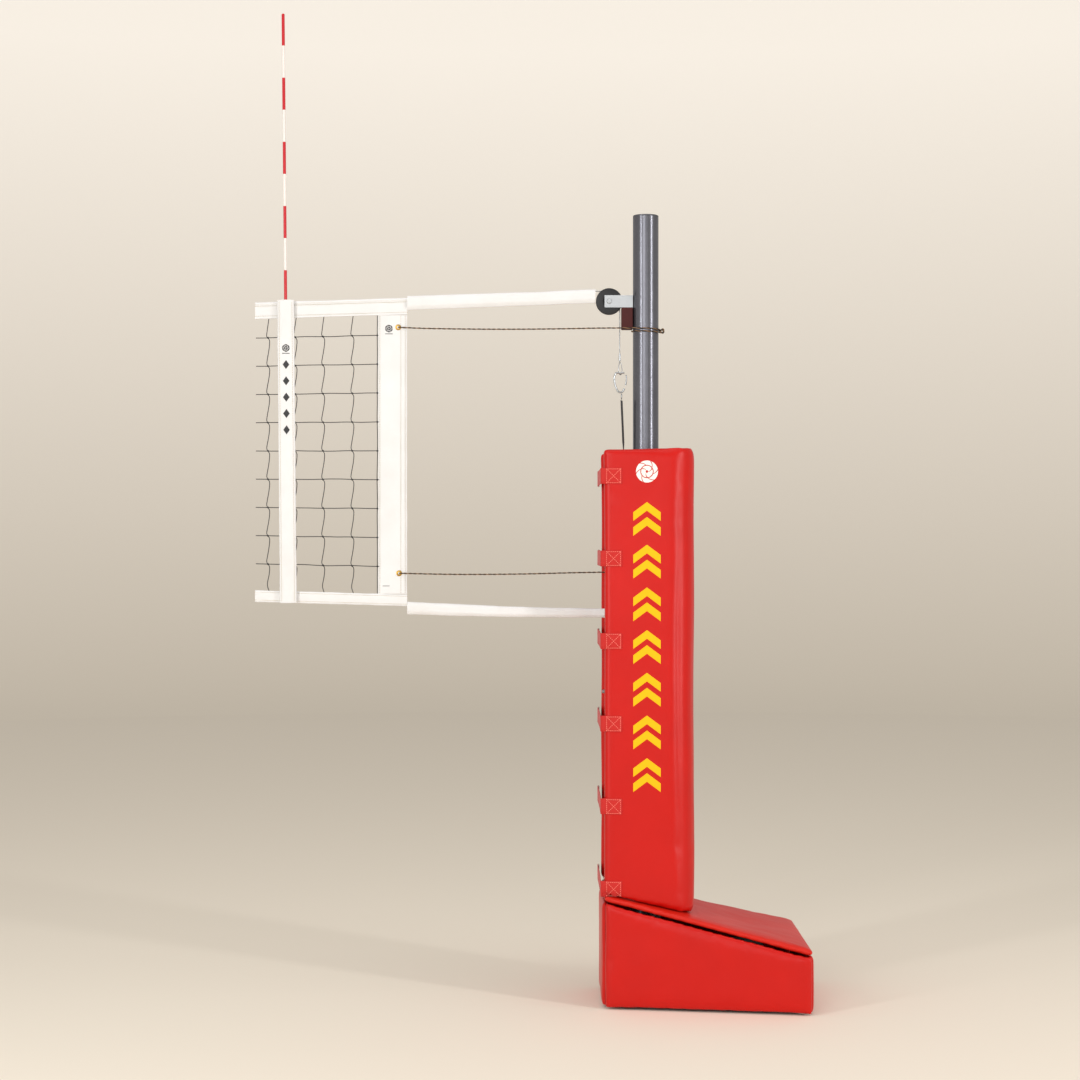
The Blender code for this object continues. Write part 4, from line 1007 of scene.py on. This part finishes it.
courses = []
for x in columns:
    way = [(x + 0.003, mesh_high)]
    for z in reversed(rows):
        way += [(x - 0.0045, z + 0.008), (x - 0.001, z), (x + 0.0050, z - 0.009), (x + 0.0035, z - 0.035),
                (x - 0.0020, z - 0.068)]
    way = [point for point in way if point[1] > mesh_low] + [(x + 0.004, mesh_low)]
    courses.append(smooth_line([(a, 0.0008, lean(a, b)) for a, b in way], 0.006))
courses += [wander(Vector((net_cut + 0.002, -0.0008, lean(net_cut, z))),
                   Vector((side_edge + 0.004, -0.0008, lean(side_edge, z))), z)
            for z in rows]
courses.append(wander(Vector((side_edge - 0.0025, 0.0008, lean(side_edge, mesh_low))),
                      Vector((side_edge - 0.0025, 0.0008, lean(side_edge, mesh_high))), 20))
net = grow("net_twine", cord_tree, line_mesh("net_courses", courses), Finish=twine, Radius=0.0013)
settle(net, "mast", "net_cord", "net_mesh")
crossings = [Vector((x, 0, lean(x, z))) for x in columns + (side_edge - 0.0025,) for z in rows]
crossing_mesh = bpy.data.meshes.new("crossings")
crossing_mesh.from_pydata([tuple(p) for p in crossings], [], [])
knots = grow("net_knots", knot_tree, crossing_mesh, Finish=twine, Size=0.0020)
settle(knots, "mast", "net_cord")

# --- Net tapes: head, foot and side bands of white cloth ---------------------------------------------
# Vinyl-coated canvas folded over the head cable and round the foot cord, hemmed and sewn with cream
# thread; the side band is sewn down both edges and has brass-rimmed eyelets for the ties.


def canvas_finish(name, colour, shade, weave=0.0016):
    """Coated canvas: a plain weave just felt under the coating, and faint handling marks."""
    material, tree, shader = new_finish(name, colour, 0.62, Sheen_Weight=0.1)
    where = add_node(tree, "ShaderNodeTexCoord").outputs["Object"]
    marks_on = add_node(tree, "ShaderNodeTexNoise",
                        {"Vector": where, "Scale": 9.0, "Detail": 5.0, "Roughness": 0.6})
    tint = add_node(tree, "ShaderNodeMix",
                    {"Factor": marks_on.outputs["Fac"], 6: linear(shade), 7: linear(colour)},
                    data_type="RGBA")
    tree.links.new(tint.outputs[2], shader.inputs["Base Color"])
    warp = add_node(tree, "ShaderNodeTexWave", {"Vector": where, "Scale": 0.314 / weave}, bands_direction="X")
    weft = add_node(tree, "ShaderNodeTexWave", {"Vector": where, "Scale": 0.314 / weave}, bands_direction="Z")
    cloth = add_node(tree, "ShaderNodeMath", {0: warp.outputs["Fac"], 1: weft.outputs["Fac"]},
                     operation="MULTIPLY")
    bump = add_node(tree, "ShaderNodeBump",
                    {"Height": cloth.outputs["Value"], "Strength": 0.35, "Distance": 0.0006})
    tree.links.new(bump.outputs["Normal"], shader.inputs["Normal"])
    return material


canvas = canvas_finish("Coated canvas, white", "#EDEDEE", "#DFDDDA")


def along_net(z, step=0.008):
    """Frames along the net at height z, from its cut end to its finished end."""
    count = round((net_end - net_cut) / step)
    return [(Vector((x, 0, lean(x, z))), Vector((0, 1, 0)), Vector((0, 0, 1)))
            for x in (net_cut + (net_end - net_cut) * k / count for k in range(count + 1))]


fold_r, hem = 0.0046, 0.0030
fold = [(fold_r * math.cos(a), fold_r * math.sin(a)) for a in (math.radians(12 * k - 48) for k in range(24))]
flat = [0.010 + (head_high - 0.024) * k / 7 for k in range(8)]
head_outline = fold + [(-0.0022, -d) for d in flat]
head_outline += [(-hem, 0.011 - head_high), (-hem, 0.0056 - head_high), (0, 0.0046 - head_high),
                 (hem, 0.0056 - head_high),
                 (hem, 0.011 - head_high)]
head_outline += [(0.0022, -d) for d in reversed(flat)]
head = swept("head_tape", along_net(2.2464), head_outline, canvas)
push(head, lambda p, n: 0.0013 * ripple(Vector((p.x, 0, p.z * 0.3)), 0.05, 6.0)
     + 0.0005 * ripple(p, 0.014, 2.0))
settle(head, "mast", "white_tape", "top_tape")
foot_outline = [(0.0038 * (1 if a < 180 else -1) * abs(math.sin(math.radians(a))) ** 0.6,
                 0.0188 * math.cos(math.radians(a)))
                for a in range(0, 360, 12)]
foot = swept("foot_tape", along_net(net_bottom + foot_high / 2), foot_outline, canvas)
push(foot, lambda p, n: 0.0009 * ripple(Vector((p.x, 0, p.z * 0.3)), 0.045, 16.0)
     + 0.0004 * ripple(p, 0.013, 3.0))
settle(foot, "mast", "white_tape", "bottom_tape")
side_frames = []
for k in range(75):
    z = mesh_low + 0.003 + (mesh_high - mesh_low - 0.006) * k / 74
    x = net_end - side_wide / 2
    side_frames.append((Vector((x, 0, lean(x, z))), Vector((0, 1, 0)), Vector((1, 0, 0))))
band = swept("side_band", side_frames, flat_section(side_wide / 2, 0.0021, 9), canvas)
push(band, lambda p, n: 0.0013 * ripple(Vector((p.x * 0.4, 0, p.z)), 0.05, 11.0)
     + 0.0004 * ripple(p, 0.013, 4.0))
settle(band, "mast", "white_tape", "side_tape")
rows_of_thread = []
for z in (2.2464 - 0.0085, 2.2464 - head_high + 0.0125, net_bottom + foot_high - 0.006, net_bottom + 0.0065):
    rows_of_thread += [[p + Vector((0, side * 0.0034, 0)) for p, _, _ in along_net(z, 0.01)]
                       for side in (-1, 1)]
for inset in (0.006, side_wide - 0.006, 0.020):
    rows_of_thread += [[Vector((net_end - inset, side * 0.0026, lean(net_end, z)))
                        for z in (mesh_low + 0.008 + (mesh_high - mesh_low - 0.016) * k / 40
                                  for k in range(41))] for side in (-1, 1)]
stitch("tape_stitches", rows_of_thread, "mast", "white_tape", white_thread, Pitch=0.0055, Stitch=0.0042,
       Thread=0.0013)
brass = metal_finish("Brass eyelet", "#C9A24F", "#A9823A", 0.3)
eyelet_profile = [(0.0045, -0.0036), (0.0085, -0.0036), (0.0095, -0.0030), (0.0095, 0.0030),
                  (0.0085, 0.0036), (0.0045, 0.0036),
                  (0.0035, 0.0020), (0.0035, -0.0020)]
for k, (x, z) in enumerate(((-0.796, 2.156), (-0.793, 1.365))):
    eyelet = turned("eyelet_%d" % (k + 1), eyelet_profile, (x, 0, z), (0, 1, 0), brass, 40, closed=True)
    settle(eyelet, "mast", "zinc")

# --- Sleeves: cloth tubes from the net to the post --------------------------------------------------
# The head cable runs in a flat white cloth tube, lapped and closed along its front; a like tube is
# drawn from the foot of the net into the open side of the mat.


def sleeve(name, line, half_y, half_z, cut, lap, wrinkle):
    """Hand-sewn cloth tube: an oval that narrows along the line, with one lapped edge along its front."""
    outline = []
    for k in range(44):
        a = math.tau * k / 44
        lip = lap * math.exp(-((math.degrees(a) - 205) / 14) ** 2)
        outline.append(((half_y + lip) * math.copysign(abs(math.cos(a)) ** 0.85, math.cos(a)),
                        half_z * math.sin(a)))
    channel = [(a * 0.72, b * 0.72) for a, b in outline]
    frames = [(p, Vector((0, 1, 0)), Vector((0, 0, 1 - cut * k / (len(line) - 1))))
              for k, p in enumerate(line)]
    tube = swept(name, frames, outline, canvas, inner=channel)
    push(tube, lambda p, n: wrinkle * ripple(Vector((p.x * 0.55, p.y, p.z * 1.2)), 0.045, 3.0)
         + 0.35 * wrinkle * ripple(p, 0.012, 5.0))
    return tube


top_line = [Vector((net_end + 0.0010 + 0.6045 * k / 90, 0, 2.2340 + 0.0215 * k / 90)) for k in range(91)]
top_tube = sleeve("head_sleeve", top_line, 0.0094, 0.0232, 0.05, 0.0012, 0.0016)
settle(top_tube, "mast", "white_tape", "top_sleeve")
bottom_line = []
for k in range(101):
    t = k / 100
    x = net_end + 0.0010 + 0.6787 * t
    bottom_line.append(Vector((x, -0.030 * max(0.0, (x + 0.20) / 0.11) ** 2 if x > -0.20 else 0.0,
                               1.2530 - 0.0165 * t - 0.0035 * math.sin(math.pi * t))))
bottom_tube = sleeve("foot_sleeve", bottom_line, 0.0092, 0.0208, 0.32, 0.0012, 0.0016)
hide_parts("bottom_sleeve")
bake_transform(bottom_tube)

# --- Antenna: glass-fibre rod in a white pocket -----------------------------------------------------
# 10 mm rod with red and white bands of 100 mm, pushed into a padded cloth pocket that laps over the
# head and foot tapes and is closed with a flap.
banded, tree, shader = new_finish("Glass-fibre rod, red and white bands", "#C9202A", 0.32)
band_long, antenna_top = 0.103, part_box("antenna_rod")[1].z
from_tip = add_node(tree, "ShaderNodeMath", {0: antenna_top, 1: height_in(tree)}, operation="SUBTRACT")
in_bands = add_node(tree, "ShaderNodeMath", {0: from_tip.outputs["Value"], 1: band_long}, operation="DIVIDE")
odd = add_node(tree, "ShaderNodeMath", {0: in_bands.outputs["Value"], 1: 2.0}, operation="FLOORED_MODULO")
white = add_node(tree, "ShaderNodeMath", {0: odd.outputs["Value"], 1: 1.0}, operation="GREATER_THAN")
tint = add_node(tree, "ShaderNodeMix",
                {"Factor": white.outputs["Value"], 6: linear("#C6202B"), 7: linear("#EDE4DE")},
                data_type="RGBA")
tree.links.new(tint.outputs[2], shader.inputs["Base Color"])
rod_y, rod_r = -0.0135, 0.0050
rod_foot, rod_tip = Vector((-1.1482, rod_y, 1.285)), Vector((-1.1650, rod_y, 3.162))
rod_way, rod_long = (rod_tip - rod_foot).normalized(), (rod_tip - rod_foot).length
rod_profile = [(0, 0), (rod_r, 0), (rod_r, rod_long - 0.0030), (0.0044, rod_long - 0.0012),
               (0.0030, rod_long), (0, rod_long)]
settle(turned("banded_rod", rod_profile, rod_foot, rod_way, banded, 40), "antenna", "antenna", "antenna_rod")
pocket_foot, pocket_top, pocket_steps = 1.2705, 2.2425, 120
pocket_half_wide, pocket_half_thick, rod_channel_r = 0.0272, 0.0071, 0.0058
pocket_across = Vector((0, 1, 0)).cross(rod_way)
pocket_frames = []
for k in range(pocket_steps + 1):
    z = pocket_foot + (pocket_top - pocket_foot) * k / pocket_steps
    pocket_frames.append((rod_foot + rod_way * ((z - rod_foot.z) / rod_way.z), pocket_across,
                          Vector((0, 1, 0))))
around = [math.tau * k / 48 for k in range(48)]
pocket_outline = [(pocket_half_wide * math.copysign(abs(math.cos(a)) ** 0.8, math.cos(a)),
                   pocket_half_thick * math.copysign(abs(math.sin(a)) ** 0.7, math.sin(a))) for a in around]
pocket_inner = [(rod_channel_r * math.cos(a), rod_channel_r * math.sin(a)) for a in around]
pocket = swept("antenna_pocket", pocket_frames, pocket_outline, canvas, inner=pocket_inner)
push(pocket, lambda p, n: 0.0007 if (p.z > 2.128 or p.z < 1.382) and abs(p.y - rod_y) > 0.0062 else 0.0)
push(pocket, lambda p, n: 0.0008 * ripple(Vector((p.x, p.y, p.z * 0.6)), 0.04, 13.0)
     if abs(p.x - rod_foot.x + 0.0089 * (p.z - 1.285)) > 0.008 else 0.0)
settle(pocket, "mast", "white_tape", "antenna_sleeve")
pocket_skin = skin_of(pocket)


def pocket_x(z):
    """Middle of the pocket at height z; it leans with the rod."""
    return rod_foot.x - 0.00895 * (z - rod_foot.z)


seam_heights = [1.278 + 0.957 * k / 120 for k in range(121)]
seams = [[on_front(pocket_skin, pocket_x(z) + side * 0.0205, z, 0.0002) for z in seam_heights]
         for side in (-1, 1)]
stitch("pocket_stitches", seams, "mast", "white_tape", white_thread, Pitch=0.0055, Stitch=0.0042,
       Thread=0.0012)
black_film, _, _ = new_finish("Heat-press film, black", "#1D1C1E", 0.45)
spots = []
for k in range(5):
    z = 2.035 - 0.0524 * k
    x = pocket_x(z)
    spots.append(quad_patch((x, z - 0.0145), (x + 0.0105, z), (x, z + 0.0145), (x - 0.0105, z)))


def small_sign(x, z):
    """Small ball sign with a bar under it."""
    parts = [ring_patch(x, z, 0.0020, 0.0065, 120 * k, 104, 40) for k in range(3)]
    parts += [ring_patch(x, z, 0.0080, 0.0120, 60 * k + 44, 50, 30) for k in range(6)]
    return parts + [quad_patch((x - 0.012, z - 0.018), (x + 0.012, z - 0.018), (x + 0.012, z - 0.016),
                               (x - 0.012, z - 0.016))]


spots += small_sign(pocket_x(2.086), 2.088)
band_skin = skin_of(band)
band_marks = small_sign(-0.826, 2.152)
band_marks.append(quad_patch((-0.846, 1.3235), (-0.824, 1.3235), (-0.824, 1.3250), (-0.846, 1.3250)))
settle(film("band_marks", band_skin, band_marks, black_film, 0.0005, 0.002), "mast", "white_tape")
settle(film("pocket_marks", pocket_skin, spots, black_film, 0.0006, 0.002), "mast", "white_tape")

# --- Ropes: braided tie ropes, dark and tan strands --------------------------------------------------
# 4.8 mm rope of two strands. The upper one is hitched round the mast with a knot on its right; the lower
# one ends on the tie ring of the fixed tube, inside the mat's open side.
dark_strand = metal_finish("Rope strand, near black", "#1E1715", "#120D0C", 0.78, 0.0, 900.0, 0.5)
tan_strand = metal_finish("Rope strand, tan", "#8C6B4B", "#6E5237", 0.78, 0.0, 900.0, 0.5)
rope_d, wrap_r, upper_z = 0.0048, mast_r + 0.0038, 2.150 + 0.002
upper_route = [(-0.796, -0.0052, 2.156), (-0.70, -0.0120, 2.1515), (-0.50, -0.0225, 2.1480),
               (-0.30, -0.0330, 2.1480),
               (-0.14, -0.0410, 2.1500)]
for k in range(21):
    a = math.radians(262 + 22 * k)
    upper_route.append((wrap_r * math.cos(a), wrap_r * math.sin(a), upper_z - 0.002 - 0.0110 * k / 20))
upper_route.append((0.0560, -0.0170, upper_z - 0.0165))
upper_line = smooth_line(upper_route, 0.0026)
upper_rope = twisted("upper_tie_rope", upper_line, 2, 0.00140, 0.00100, 0.032, dark_strand, tan_strand)
settle(upper_rope, "mast", "rope", "upper_rope")
lower_line = smooth_line([(-0.793, -0.0052, 1.365), (-0.60, -0.0120, 1.3615), (-0.40, -0.0230, 1.3630),
                          (-0.22, -0.0380, 1.3675), (-0.0520, -0.0608, 1.371)], 0.0026)
lower_rope = twisted("lower_tie_rope", lower_line, 2, 0.00140, 0.00100, 0.032, dark_strand, tan_strand)
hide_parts("lower_rope")
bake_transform(lower_rope)
hitch_line = []
for k in range(73):
    a = math.radians(10 * k)
    wide = 0.0052 + 0.0016 * math.sin(1.5 * a)
    hitch_line.append(Vector((0.0515 + wide * math.cos(a), -0.0170 - 0.004 + 0.0165 * (k / 72 - 0.5),
                              upper_z - 0.010 + wide * math.sin(a))))
hitch = twisted("rope_hitch", hitch_line, 2, 0.00120, 0.00105, 0.02, dark_strand, tan_strand)
settle(hitch, "mast", "rope")
